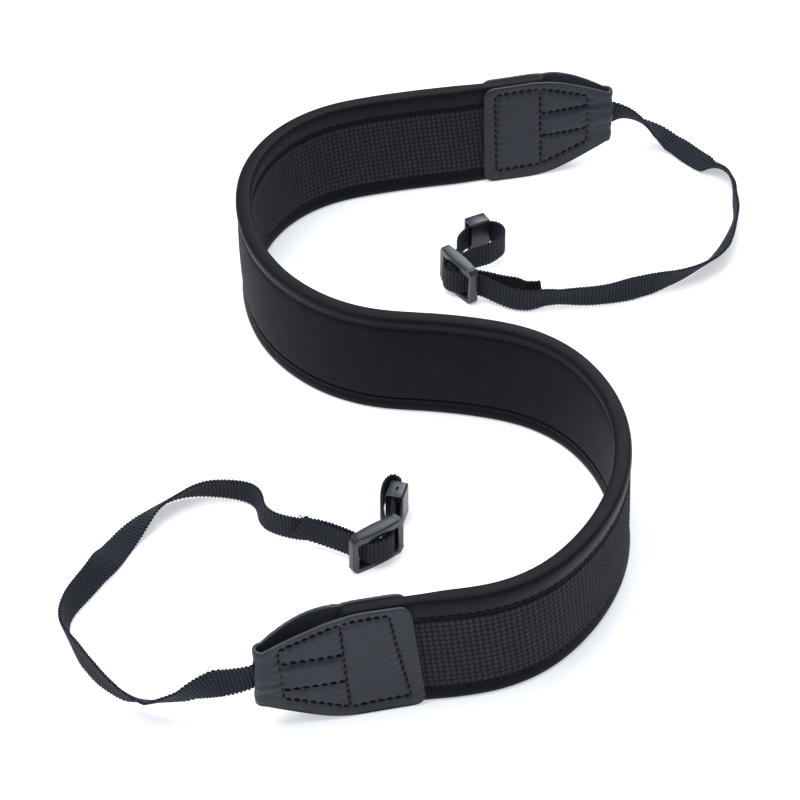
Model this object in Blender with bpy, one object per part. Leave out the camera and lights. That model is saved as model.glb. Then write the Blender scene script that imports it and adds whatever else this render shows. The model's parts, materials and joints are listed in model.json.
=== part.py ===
"""Camera neck strap that lies on its lower edge.

A padded neck band with a woven strip and two bindings, a folded leather tab at
each end, and a webbing strap out of each tab that runs through a slider, round
a lug loop with a keeper on it, and back through the slider to a short tail.

Metres, +Z up. The origin is on the floor under the middle of the band.
Angles are degrees, and a positive turn is to the left of the travel.
"""

import math
from typing import NamedTuple

import bmesh
import bpy
import numpy as np
from mathutils import Matrix, Vector

MM = 0.001

# Gap between pieces that touch on the real strap
SEAT_GAP = 0.3 * MM

# Neck band
BAND_LENGTH = 505.1 * MM
BAND_HEIGHT = 43.0 * MM
BAND_LEAN = 1.4 * MM
BAND_STATIONS = 80
BAND_START_HEADING = 14.2
BAND_SMOOTHING = 28.0 * MM

# Neoprene core: half of its thickness, free and where a tab presses it
CORE_HALF = 1.6 * MM
CORE_HALF_PRESSED = 1.0 * MM
CORE_CHAMFER = 0.6 * MM
CORE_FACE_RISE = 0.9 * MM
CORE_FACE_SLOPE = 0.5 * MM
PRESS_RUN = 12.0 * MM

# Woven strip on the right-hand face
WEAVE_LOW = 6.3 * MM
WEAVE_HEIGHT = 27.9 * MM
WEAVE_THICKNESS = 0.9 * MM

# Bindings that wrap the two long edges
BINDING_WALL = 0.8 * MM
BINDING_PLAIN_LEG = 5.2 * MM
BINDING_SHOULDER = 1.5 * MM
BINDING_CORNER = 0.5 * MM
BINDING_CORNER_INSET = 0.35 * MM
BINDING_FOOT_INSET = 1.1 * MM

# Leather end tabs
TAB_LAP = 24.5 * MM
TAB_TAPER = 28.3 * MM
TAB_WALL = 1.2 * MM
TAB_EDGE_HEIGHT = 42.4 * MM
TAB_FOLD_HEIGHT = 20.0 * MM
TAB_CORNER_RADIUS = 4.0 * MM
TAB_FOLD_HALF = 1.7 * MM
TAB_TAPER_BOW = 0.6 * MM
TAB_BACK_SWELL = 2.6 * MM
TAB_STATION_STEP = 5.0 * MM
TAB_CORNER_STEPS = 4
TAB_FOLD_STEPS = 6

# Webbing
WEB_WIDTH = 10.0 * MM
WEB_THICKNESS = 1.2 * MM
WEB_FLOOR_GAP = 0.2 * MM
WEB_SMOOTHING = 14.0 * MM
WEB_STEP = 2.8 * MM
WEB_LOOP_STEP = 1.6 * MM
WEB_SLOT_GAP = 0.6 * MM
WEB_TAIL_BLEND = 6.0 * MM
WEB_RISE = 12.0 * MM

# Sliders: two end bars, two rails and a centre bar
SLIDER_LENGTH = 21.0 * MM
SLIDER_RAIL = 2.1 * MM
SLIDER_END_BAR = 2.4 * MM
SLIDER_THICKNESS = 3.0 * MM
SLIDER_BOW = 1.6 * MM
SLIDER_WINDOW_GAP = 0.6 * MM
SLIDER_CENTRE_BAR = 2.0 * MM
SLIDER_CENTRE_THICKNESS = 1.7 * MM
SLIDER_CORNER = 1.7 * MM
SLIDER_EDGE = 0.35 * MM
SLIDER_WEB_GAP = 1.1 * MM
LEAVE_ANGLE = math.radians(72)

# Keepers: rectangular sleeves round one strand of the lug loop
KEEPER_LENGTH = 8.0 * MM
KEEPER_WIDTH = 6.2 * MM
KEEPER_WALL = 1.3 * MM
KEEPER_WEB_GAP = 0.4 * MM
KEEPER_CORNER = 0.9 * MM
KEEPER_SLOT_LENGTH = 2.4 * MM
KEEPER_SLOT_WIDTH = 0.8 * MM

# Sizes that follow from those above
ROUTE_LENGTH = BAND_LENGTH + 2 * TAB_TAPER
MID_HEIGHT = BAND_HEIGHT / 2
SKIN = max(WEAVE_THICKNESS, BINDING_WALL)
LAYER_STEP = WEB_THICKNESS + SEAT_GAP
SLIDER_HEIGHT = WEB_WIDTH + 2 * (SLIDER_WINDOW_GAP + SLIDER_RAIL)
SLOT_HEIGHT = SLIDER_RAIL + SEAT_GAP + WEB_WIDTH / 2
KEEPER_HEIGHT = WEB_WIDTH + 2 * (KEEPER_WEB_GAP + KEEPER_WALL)
SLIDER_WINDOW_END = SLIDER_LENGTH / 2 - SLIDER_END_BAR
SLOT_IN = (SLIDER_WINDOW_END + SLIDER_CENTRE_BAR / 2) / 2
SLOT_OUT = SLIDER_WINDOW_END - SLIDER_WEB_GAP - WEB_THICKNESS / 2 - LAYER_STEP / 2


class Bend(NamedTuple):
    """One stretch of the band: its share of the route and how far it turns."""

    share: float
    turn: float


class Reach(NamedTuple):
    """One stretch of free webbing.

    The webbing turns by turn over the stretch. At its end it leans by tilt from
    upright, and is raised off the floor by lift, a share of the slot's height.
    """

    turn: float
    tilt: float
    lift: float


class LoopPoint(NamedTuple):
    """A point of the lug loop, in shares of the loop's reach from the slider."""

    along: float
    behind: float


class TailPoint(NamedTuple):
    """How far the tail stands off its strap: shares of its length and of the webbing's width."""

    share: float
    stand_off: float
    lift: float


class StrapEnd(NamedTuple):
    """Everything that differs between the two webbing straps."""

    name: str
    free_length: float
    reaches: tuple
    slider_turn: float
    front: float
    bulge: float
    loop_reach: float
    loop: tuple
    keeper_row: int
    keeper_slot: bool
    tail_length: float
    tail: tuple


BAND_BENDS = (
    Bend(21, 0),
    Bend(22, -6),
    Bend(22, 40),
    Bend(22, 22),
    Bend(22, 24),
    Bend(22, 28),
    Bend(22, 42),
    Bend(22, 13),
    Bend(22, -37),
    Bend(22, -30),
    Bend(22, -22),
    Bend(22, -33),
    Bend(22, -38),
    Bend(22, -7),
    Bend(22, 5),
    Bend(21, 0),
)

NEAR_STRAP = StrapEnd(
    name="near",
    free_length=238.4 * MM,
    reaches=(
        Reach(-22, -16, 0.85),
        Reach(11, 26, 0.48),
        Reach(-23, 53, 0.28),
        Reach(-21, 19, 0.12),
        Reach(-12, 4, 0.11),
        Reach(-7, 2, 0.1),
        Reach(-6, 16, 0.06),
        Reach(-37, 15, 0.04),
        Reach(-15, 28, 0),
        Reach(4, 37, 0),
        Reach(6, 81, 0),
        Reach(-17, 98, 0),
        Reach(-6, 132, 0),
        Reach(-19, 142, 0),
        Reach(-29, 166, 0),
        Reach(-15, 176, 0),
        Reach(-79, 189, 0.04),
        Reach(61, 180, 0.11),
        Reach(21, 182, 0.16),
        Reach(-17, 183, 0.14),
        Reach(-7, 180, 0.14),
    ),
    slider_turn=71,
    front=-1,
    bulge=3.2 * MM,
    loop_reach=22.0 * MM,
    loop=(
        LoopPoint(0.39, 0.36),
        LoopPoint(0.63, 0.73),
        LoopPoint(0.80, 0.91),
        LoopPoint(0.92, 0.98),
        LoopPoint(1.03, 0.99),
        LoopPoint(1.07, 0.86),
        LoopPoint(0.97, 0.72),
        LoopPoint(0.83, 0.60),
        LoopPoint(0.69, 0.49),
        LoopPoint(0.46, 0.26),
    ),
    keeper_row=7,
    keeper_slot=True,
    tail_length=27.0 * MM,
    tail=(
        TailPoint(0, 0, 0),
        TailPoint(0.6, 0.01, 0.02),
        TailPoint(1, 0.05, 0.2),
    ),
)

FAR_STRAP = StrapEnd(
    name="far",
    free_length=219.7 * MM,
    reaches=(
        Reach(30, -55, 0.79),
        Reach(-33, -89, 0.49),
        Reach(-50, -95, 0.09),
        Reach(-16, -99, 0.01),
        Reach(12, -98, 0),
        Reach(-9, -45, 0),
        Reach(-38, -23, 0),
        Reach(-3, -2, 0),
        Reach(3, 2, 0),
        Reach(-19, 13, 0),
        Reach(1, 26, 0),
        Reach(-9, 39, 0),
        Reach(-20, 41, 0),
        Reach(-4, 34, 0),
        Reach(-14, 21, 0),
        Reach(-4, 0, 0),
        Reach(0, -9, 0),
        Reach(-7, 4, 0),
        Reach(-13, 8, 0),
        Reach(-2, 19, 0),
        Reach(20, 7, 0),
        Reach(-50, 0, 0.03),
        Reach(-2, 0, 0.08),
        Reach(27, 0, 0.1),
    ),
    slider_turn=-51.5,
    front=1,
    bulge=4.2 * MM,
    loop_reach=28.0 * MM,
    loop=(
        LoopPoint(0.33, 0.21),
        LoopPoint(0.54, 0.37),
        LoopPoint(0.64, 0.56),
        LoopPoint(0.66, 0.76),
        LoopPoint(0.60, 0.93),
        LoopPoint(0.50, 1.0),
        LoopPoint(0.39, 1.0),
        LoopPoint(0.30, 0.95),
        LoopPoint(0.24, 0.86),
        LoopPoint(0.19, 0.64),
        LoopPoint(0.22, 0.40),
        LoopPoint(0.21, 0.22),
    ),
    keeper_row=3,
    keeper_slot=False,
    tail_length=31.0 * MM,
    tail=(
        TailPoint(0, 0, 0),
        TailPoint(0.2, 0.12, 0),
        TailPoint(0.4, 0.32, 0),
        TailPoint(0.6, 0.55, 0),
        TailPoint(0.8, 0.42, 0),
        TailPoint(1, 0.22, 0.1),
    ),
)


class Finish(NamedTuple):
    """Colour, roughness and metallic value of a piece."""

    colour: tuple
    roughness: float
    metallic: float = 0.0


NEOPRENE = Finish((0.012, 0.012, 0.014), 0.75)
BINDING = Finish((0.02, 0.02, 0.023), 0.62)
WEAVE = Finish((0.03, 0.03, 0.032), 0.85)
LEATHER = Finish((0.045, 0.047, 0.06), 0.5)
WEBBING = Finish((0.022, 0.023, 0.03), 0.8)
PLASTIC = Finish((0.05, 0.05, 0.057), 0.42)


class Route:
    """A smooth plan line whose heading follows a table of turns."""

    def __init__(self, start, heading, length, shares, turns, smoothing):
        """Integrate the headings from start; corners are averaged over smoothing."""
        self.length = length
        steps = 600
        fraction = np.linspace(0.0, 1.0, steps)
        knots = np.concatenate([[0.0], np.cumsum(shares)]) / np.sum(shares)
        headings = np.concatenate([[0.0], np.cumsum(np.radians(turns))])
        angle = np.interp(fraction, knots, headings) + math.radians(heading)
        reach = max(1, int(smoothing / length * steps / 2))
        window = np.hanning(2 * reach + 3)[1:-1]
        window = window / window.sum()
        padded = np.pad(angle, reach, "reflect", reflect_type="odd")
        self.angle = np.convolve(padded, window, "valid")
        step = length / (steps - 1)
        middle = (self.angle[1:] + self.angle[:-1]) / 2
        self.x = start[0] + np.concatenate([[0.0], np.cumsum(step * np.cos(middle))])
        self.y = start[1] + np.concatenate([[0.0], np.cumsum(step * np.sin(middle))])
        self.s = fraction * length

    def at(self, s):
        """Return the plan point and the heading in radians at distance s."""
        x = float(np.interp(s, self.s, self.x))
        y = float(np.interp(s, self.s, self.y))
        return Vector((x, y, 0.0)), float(np.interp(s, self.s, self.angle))

    def move(self, offset):
        """Shift the whole line in plan."""
        self.x = self.x + offset.x
        self.y = self.y + offset.y


def right_of(heading):
    """Return the unit plan vector to the right of a heading in radians."""
    return Vector((math.sin(heading), -math.cos(heading), 0.0))


def ahead_of(heading):
    """Return the unit plan vector along a heading in radians."""
    return Vector((math.cos(heading), math.sin(heading), 0.0))


def smooth_share(value):
    """Ease a value from 0 to 1."""
    value = min(1.0, max(0.0, value))
    return value * value * (3 - 2 * value)


def lean(height):
    """Return how far the band leans to the left at a height."""
    return BAND_LEAN * (height / BAND_HEIGHT - 0.5)


def band_route():
    """Return the band's plan line, with the middle of its foot at the origin."""
    route = Route(
        (0.0, 0.0),
        BAND_START_HEADING,
        ROUTE_LENGTH,
        [row.share for row in BAND_BENDS],
        [row.turn for row in BAND_BENDS],
        BAND_SMOOTHING,
    )
    middle, heading = route.at(ROUTE_LENGTH / 2)
    route.move(-middle + right_of(heading) * lean(0.0))
    return route


def core_half(s):
    """Return half of the core's thickness, less where a tab presses it."""
    from_end = min(s, ROUTE_LENGTH - s) - TAB_TAPER - TAB_LAP
    free = smooth_share(from_end / PRESS_RUN)
    return CORE_HALF_PRESSED + (CORE_HALF - CORE_HALF_PRESSED) * free


def clear_scene():
    """Remove every object of the scene."""
    for item in list(bpy.data.objects):
        bpy.data.objects.remove(item, do_unlink=True)


def finish_material(name, finish):
    """Return a Principled material with the finish's values."""
    material = bpy.data.materials.new(name)
    material.use_nodes = True
    shader = material.node_tree.nodes["Principled BSDF"]
    shader.inputs["Base Color"].default_value = (*finish.colour, 1.0)
    shader.inputs["Roughness"].default_value = finish.roughness
    shader.inputs["Metallic"].default_value = finish.metallic
    return material


def add_object(name, bm, finish, matrix=None):
    """Turn a bmesh into a named object with its own material."""
    bmesh.ops.recalc_face_normals(bm, faces=bm.faces)
    mesh = bpy.data.meshes.new(name)
    bm.to_mesh(mesh)
    bm.free()
    piece = bpy.data.objects.new(name, mesh)
    bpy.context.scene.collection.objects.link(piece)
    if matrix is not None:
        piece.matrix_world = matrix
    mesh.materials.append(finish_material(name + "_finish", finish))
    return piece


def loft(rings):
    """Return a closed body through rings of points, with flat ends."""
    bm = bmesh.new()
    rows = [[bm.verts.new(point) for point in ring] for ring in rings]
    count = len(rows[0])
    for first, second in zip(rows, rows[1:]):
        for i in range(count):
            j = (i + 1) % count
            bm.faces.new((first[i], first[j], second[j], second[i]))
    bm.faces.new(list(reversed(rows[0])))
    bm.faces.new(rows[-1])
    return bm


def sweep_section(route, section):
    """Loft a section along the band; section(half) gives (right, height) pairs."""
    rings = []
    for i in range(BAND_STATIONS + 1):
        s = TAB_TAPER + BAND_LENGTH * i / BAND_STATIONS
        point, heading = route.at(s)
        right = right_of(heading)
        rings.append([
            point + right * (across - lean(height)) + Vector((0.0, 0.0, height))
            for across, height in section(core_half(s))
        ])
    return loft(rings)


def core_section(half):
    """Section of the core: flat behind the weave, raised between the bindings' legs."""
    low = BINDING_WALL + SEAT_GAP
    step = BINDING_PLAIN_LEG + SEAT_GAP
    face = half + CORE_FACE_RISE
    lower = [
        (half - CORE_CHAMFER, low),
        (half, low + CORE_CHAMFER),
    ]
    upper = [
        (half, BAND_HEIGHT - low - CORE_CHAMFER),
        (half - CORE_CHAMFER, BAND_HEIGHT - low),
        (CORE_CHAMFER - half, BAND_HEIGHT - low),
        (-half, BAND_HEIGHT - low - CORE_CHAMFER),
        (-half, BAND_HEIGHT - step),
        (-face, BAND_HEIGHT - step - CORE_FACE_SLOPE),
    ]
    plain = [
        (-face, step + CORE_FACE_SLOPE),
        (-half, step),
        (-half, low + CORE_CHAMFER),
        (CORE_CHAMFER - half, low),
    ]
    return lower + upper + plain


def weave_section(half):
    """Section of the woven strip on the core's right-hand face."""
    inner = half + SEAT_GAP
    outer = inner + WEAVE_THICKNESS
    low = WEAVE_LOW
    return [(inner, low), (outer, low), (outer, low + WEAVE_HEIGHT), (inner, low + WEAVE_HEIGHT)]


def binding_section(half, weave_leg):
    """Section of a binding, a wrap with a flat foot and two legs."""
    inner = half + SEAT_GAP
    outer = inner + BINDING_WALL
    return [
        (outer, weave_leg),
        (outer, BINDING_SHOULDER),
        (outer - BINDING_CORNER_INSET, BINDING_CORNER),
        (outer - BINDING_FOOT_INSET, 0.0),
        (BINDING_FOOT_INSET - outer, 0.0),
        (BINDING_CORNER_INSET - outer, BINDING_CORNER),
        (-outer, BINDING_SHOULDER),
        (-outer, BINDING_PLAIN_LEG),
        (-inner, BINDING_PLAIN_LEG),
        (-inner, BINDING_WALL),
        (inner, BINDING_WALL),
        (inner, weave_leg),
    ]


def lower_binding_section(half):
    """Section of the lower binding, with its leg up to the woven strip."""
    return binding_section(half, WEAVE_LOW - SEAT_GAP)


def upper_binding_section(half):
    """Section of the upper binding, turned upside down, with its leg down to the woven strip."""
    weave_leg = BAND_HEIGHT - WEAVE_LOW - WEAVE_HEIGHT - SEAT_GAP
    return [(across, BAND_HEIGHT - height) for across, height in binding_section(half, weave_leg)]


def tab_half_height(x):
    """Return half of a tab's height at distance x from its band-side edge."""
    edge = TAB_EDGE_HEIGHT / 2
    if x < TAB_CORNER_RADIUS:
        run = TAB_CORNER_RADIUS - x
        rise = math.sqrt(max(0.0, TAB_CORNER_RADIUS ** 2 - run ** 2))
        edge = edge - TAB_CORNER_RADIUS + rise
    if x < TAB_LAP:
        return edge + (BAND_HEIGHT - TAB_EDGE_HEIGHT) / 2 * x / TAB_LAP
    share = (x - TAB_LAP) / TAB_TAPER
    bow = TAB_TAPER_BOW * math.sin(math.pi * share)
    return (BAND_HEIGHT + (TAB_FOLD_HEIGHT - BAND_HEIGHT) * share) / 2 + bow


def tab_inner(s, side):
    """Return how far a tab's panel stands from the middle at distance s from the fold."""
    lap = core_half(s) + SKIN + 2 * SEAT_GAP
    if s >= TAB_TAPER:
        return lap
    fold = TAB_FOLD_HALF + TAB_WALL
    share = (s - fold) / (TAB_TAPER - fold)
    swell = TAB_BACK_SWELL * math.sin(math.pi * share) if side < 0 else 0.0
    return TAB_FOLD_HALF + (lap - TAB_FOLD_HALF) * smooth_share(share) + swell


def tab_distances():
    """Return the distances from a tab's band-side edge where its panels get a section."""
    corner = [
        TAB_CORNER_RADIUS * (1 - math.cos(math.pi / 2 * i / TAB_CORNER_STEPS))
        for i in range(TAB_CORNER_STEPS)
    ]
    lap_steps = max(1, round((TAB_LAP - TAB_CORNER_RADIUS) / TAB_STATION_STEP))
    lap = np.linspace(TAB_CORNER_RADIUS, TAB_LAP, lap_steps + 1)
    end = TAB_LAP + TAB_TAPER - TAB_FOLD_HALF - TAB_WALL
    taper_steps = max(1, round((end - TAB_LAP) / TAB_STATION_STEP))
    taper = np.linspace(TAB_LAP, end, taper_steps + 1)[1:]
    return corner + [float(x) for x in lap] + [float(x) for x in taper]


def tab_piece(name, route, from_start):
    """Fold one leather piece round the band's end, with a slot for the strap in its fold."""
    length = TAB_LAP + TAB_TAPER
    rings = []

    def place(x, across):
        s = length - x
        if not from_start:
            s = ROUTE_LENGTH - s
        point, heading = route.at(s)
        return point + right_of(heading) * across

    def ring(x, inner, outer):
        half = tab_half_height(x)
        corners = [(inner, MID_HEIGHT - half), (outer, MID_HEIGHT - half)]
        corners += [(outer, MID_HEIGHT + half), (inner, MID_HEIGHT + half)]
        return corners

    def panel(x, side):
        inner = tab_inner(length - x, side)
        points = []
        for across, height in ring(x, inner, inner + TAB_WALL):
            point = place(x, side * across - lean(height))
            points.append(point + Vector((0.0, 0.0, height)))
        return points

    distances = tab_distances()
    for x in distances:
        rings.append(panel(x, 1))
    centre = distances[-1]
    for i in range(1, TAB_FOLD_STEPS):
        turn = math.pi * i / TAB_FOLD_STEPS
        points = []
        for radius, height in ring(centre, TAB_FOLD_HALF, TAB_FOLD_HALF + TAB_WALL):
            x = centre + radius * math.sin(turn)
            point = place(x, radius * math.cos(turn) - lean(height))
            points.append(point + Vector((0.0, 0.0, height)))
        rings.append(points)
    for x in reversed(distances):
        rings.append(panel(x, -1))
    tab = add_object(name, loft(rings), LEATHER)

    bm = bmesh.new()
    bmesh.ops.create_cube(bm, size=1.0)
    depth = 2 * (TAB_FOLD_HALF + TAB_WALL)
    size = (depth, WEB_THICKNESS + 2 * WEB_SLOT_GAP, WEB_WIDTH + 2 * WEB_SLOT_GAP)
    bmesh.ops.scale(bm, vec=size, verts=bm.verts)
    s = 0.0 if from_start else ROUTE_LENGTH
    point, heading = route.at(s)
    spot = Matrix.Translation(point + Vector((0.0, 0.0, MID_HEIGHT)))
    cutter = add_object(name + "_slot_cutter", bm, LEATHER, spot @ Matrix.Rotation(heading, 4, "Z"))
    cutter.hide_render = True
    cutter.display_type = "WIRE"
    cut = tab.modifiers.new("slot", "BOOLEAN")
    cut.operation = "DIFFERENCE"
    cut.solver = "EXACT"
    cut.object = cutter
    return tab


def hermite(start, start_tangent, end, end_tangent, steps):
    """Return points from start to just before end on a cubic with the given tangents."""
    points = []
    for i in range(steps):
        t = i / steps
        a = (1 + 2 * t) * (1 - t) ** 2
        b = t * (1 - t) ** 2
        c = t * t * (3 - 2 * t)
        d = t * t * (t - 1)
        points.append(start * a + start_tangent * b + end * c + end_tangent * d)
    return points


def through(points, step):
    """Return a smooth line through points; the first and last only set the end tangents."""
    line = []
    for before, start, end, after in zip(points, points[1:], points[2:], points[3:]):
        span = (end - start).length
        first = (end - before) * (span / ((start - before).length + span))
        last = (after - start) * (span / ((after - end).length + span))
        steps = max(1, round(span / step))
        line += hermite(start, first, end, last, steps)
    line.append(points[-2].copy())
    return line


def offset_line(line, distances):
    """Offset a plan line to its left by one distance for each point."""
    moved = []
    for i, point in enumerate(line):
        along = line[min(i + 1, len(line) - 1)] - line[max(i - 1, 0)]
        along.z = 0.0
        along.normalize()
        moved.append(point + Vector((-along.y, along.x, 0.0)) * distances[i])
    return moved


class StrapCourse:
    """Where one webbing strap runs, with the places of its slider and its keeper."""

    def __init__(self, end, route, from_start):
        """Lay out the strap from inside its tab to its tail."""
        self.end = end
        self.inside = self.lay_inside(route, from_start)
        self.pair, tilts = self.lay_free(self.inside[-1], route, from_start)
        self.set_slider_frame()
        crest = self.lay_crest()
        blend = [
            smooth_share((s - end.free_length + end.tail_length) / WEB_TAIL_BLEND)
            for s in self.free_distances
        ]
        strap = offset_line(self.pair + crest[1:], [
            LAYER_STEP / 2 * share for share in blend + [1.0] * (len(crest) - 1)
        ])
        back = offset_line(self.pair[-3:] + crest[1:], [-LAYER_STEP / 2] * (len(crest) + 2))
        loop = self.lay_loop(strap[-2:], back[-2:])
        tail = self.lay_tail()
        returned = list(reversed(back[3:-1]))
        self.points = self.inside[:-1] + strap + loop[1:-1] + [back[-1]] + returned + tail
        upright = [0.0] * (len(self.inside) - 1)
        rest = len(self.points) - len(upright) - len(tilts)
        self.tilts = upright + tilts + [tilts[-1]] * rest

    def lay_inside(self, route, from_start):
        """Return the stretch sewn between the tab's panels, from the band's end to the fold."""
        steps = max(2, round(TAB_TAPER / (2 * WEB_STEP)))
        points = []
        for i in range(steps + 1):
            s = (TAB_TAPER - SEAT_GAP) * (1 - i / steps)
            point, _ = route.at(s if from_start else ROUTE_LENGTH - s)
            points.append(point + Vector((0.0, 0.0, MID_HEIGHT)))
        return points

    def lay_free(self, start, route, from_start):
        """Return the stretch from the fold to the slider's first slot, with its tilts."""
        end = self.end
        rows = end.reaches
        _, heading = route.at(0.0 if from_start else ROUTE_LENGTH)
        if from_start:
            heading += math.pi
        plan = Route(
            start,
            math.degrees(heading),
            end.free_length,
            [1.0] * len(rows),
            [row.turn for row in rows],
            WEB_SMOOTHING,
        )
        knots = np.linspace(0.0, end.free_length, len(rows) + 1)
        tilt_rows = [0.0] + [row.tilt for row in rows]
        lift_rows = [1.0] + [row.lift for row in rows]
        slot_lift = MID_HEIGHT - WEB_WIDTH / 2 - WEB_FLOOR_GAP
        steps = round(end.free_length / WEB_STEP)
        points = []
        tilts = []
        self.free_distances = []
        for i in range(steps + 1):
            s = end.free_length * i / steps
            point, self.free_heading = plan.at(s)
            tilt = math.radians(float(np.interp(s, knots, tilt_rows)))
            stand = WEB_WIDTH / 2 * abs(math.cos(tilt)) + WEB_THICKNESS / 2 * abs(math.sin(tilt))
            point.z = WEB_FLOOR_GAP + stand + slot_lift * float(np.interp(s, knots, lift_rows))
            rise = smooth_share((s - end.free_length + WEB_RISE) / WEB_RISE)
            point.z += (SLOT_HEIGHT - point.z) * rise
            points.append(point)
            tilts.append(tilt)
            self.free_distances.append(s)
        return points, tilts

    def set_slider_frame(self):
        """Place the slider so that the webbing enters the middle of its first slot."""
        self.slider_heading = self.free_heading + math.radians(self.end.slider_turn)
        self.along = ahead_of(self.slider_heading)
        self.front = right_of(self.slider_heading) * -self.end.front
        self.slider_centre = self.pair[-1] + self.along * SLOT_IN

    def local(self, along, front, height=SLOT_HEIGHT):
        """Return the world point at a place in the slider's own frame."""
        point = self.slider_centre + self.along * along + self.front * front
        point.z = height
        return point

    def lay_crest(self):
        """Return the pair's middle line over the centre bar, from slot to slot."""
        entry = ahead_of(self.free_heading)
        leave = self.along * math.cos(LEAVE_ANGLE) - self.front * math.sin(LEAVE_ANGLE)
        top = self.local((SLOT_OUT - SLOT_IN) / 2, self.end.bulge)
        slots = (self.local(-SLOT_IN, 0.0), self.local(SLOT_OUT, 0.0))
        span = (top - slots[0]).length * 1.2
        steps = max(4, round(span / WEB_LOOP_STEP) + 2)
        line = hermite(slots[0], entry * span, top, self.along * span, steps)
        line += hermite(top, self.along * span, slots[1], leave * span, steps)
        return line + [slots[1]]

    def lay_loop(self, out, back):
        """Return the lug loop, from the end of the outgoing layer to that of the returning one."""
        reach = self.end.loop_reach
        height = KEEPER_HEIGHT / 2
        rows = [self.local(row.along * reach, -row.behind * reach, height) for row in self.end.loop]
        self.keeper_centre = rows[self.end.keeper_row]
        toward = rows[self.end.keeper_row + 1] - rows[self.end.keeper_row - 1]
        self.keeper_heading = math.atan2(toward.y, toward.x)
        return through(out + rows + [back[-1], back[-2]], WEB_LOOP_STEP)

    def lay_tail(self):
        """Return the tail, which lies back along the strap on its right."""
        end = self.end
        shares = [row.share for row in end.tail]
        steps = round(end.tail_length / WEB_STEP)
        line = []
        distances = []
        for i in range(steps + 1):
            s = end.free_length - end.tail_length * i / steps
            share = i / steps
            point = Vector([
                float(np.interp(s, self.free_distances, [p[axis] for p in self.pair]))
                for axis in range(3)
            ])
            lift = float(np.interp(share, shares, [row.lift for row in end.tail]))
            stand_off = float(np.interp(share, shares, [row.stand_off for row in end.tail]))
            point.z += WEB_WIDTH * lift
            line.append(point)
            distances.append(LAYER_STEP / 2 + WEB_WIDTH * stand_off)
        return offset_line(line, distances)

    def rings(self):
        """Return the webbing's rectangular sections along its whole course."""
        rings = []
        last = len(self.points) - 1
        for i, point in enumerate(self.points):
            along = self.points[min(i + 1, last)] - self.points[max(i - 1, 0)]
            along.normalize()
            left = Vector((-along.y, along.x, 0.0)).normalized()
            wide = Vector((0.0, 0.0, math.cos(self.tilts[i]))) + left * math.sin(self.tilts[i])
            wide = (wide - along * wide.dot(along)).normalized()
            thick = along.cross(wide)
            half_wide = wide * (WEB_WIDTH / 2)
            half_thick = thick * (WEB_THICKNESS / 2)
            rings.append([
                point - half_wide - half_thick,
                point + half_wide - half_thick,
                point + half_wide + half_thick,
                point - half_wide + half_thick,
            ])
        return rings

    def slider_matrix(self):
        """Return the slider's place: X along it, Y to its front, Z up."""
        return Matrix((
            (self.along.x, self.front.x, 0.0, self.slider_centre.x),
            (self.along.y, self.front.y, 0.0, self.slider_centre.y),
            (0.0, 0.0, 1.0, 0.0),
            (0.0, 0.0, 0.0, 1.0),
        ))

    def keeper_matrix(self):
        """Return the keeper's place: X along the strand, Z up."""
        spot = Matrix.Translation((self.keeper_centre.x, self.keeper_centre.y, KEEPER_HEIGHT / 2))
        return spot @ Matrix.Rotation(self.keeper_heading, 4, "Z")


def slider_columns():
    """Return the slider's column lines along its length."""
    half = SLIDER_LENGTH / 2
    bar = SLIDER_CENTRE_BAR / 2
    window = half - SLIDER_END_BAR
    return [-half, -window, -(window + bar) / 2, -bar, bar, (window + bar) / 2, window, half]


def slider_rows():
    """Return the slider's row lines up its height."""
    step = (SLIDER_THICKNESS - SLIDER_CENTRE_THICKNESS) / 2
    low = SLIDER_RAIL
    high = SLIDER_HEIGHT - SLIDER_RAIL
    return [0.0, low, low + step, high - step, high, SLIDER_HEIGHT]


def slider_half_thickness(column, row):
    """Return half of the slider's thickness at a column and row line."""
    x = slider_columns()[column]
    if 2 <= row <= 3 and 3 <= column <= 4:
        return SLIDER_CENTRE_THICKNESS / 2
    bow = SLIDER_BOW * (1 - (2 * x / SLIDER_LENGTH) ** 2)
    if 2 <= row <= 3:
        bow = 0.0
    return (SLIDER_THICKNESS + bow) / 2


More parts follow.
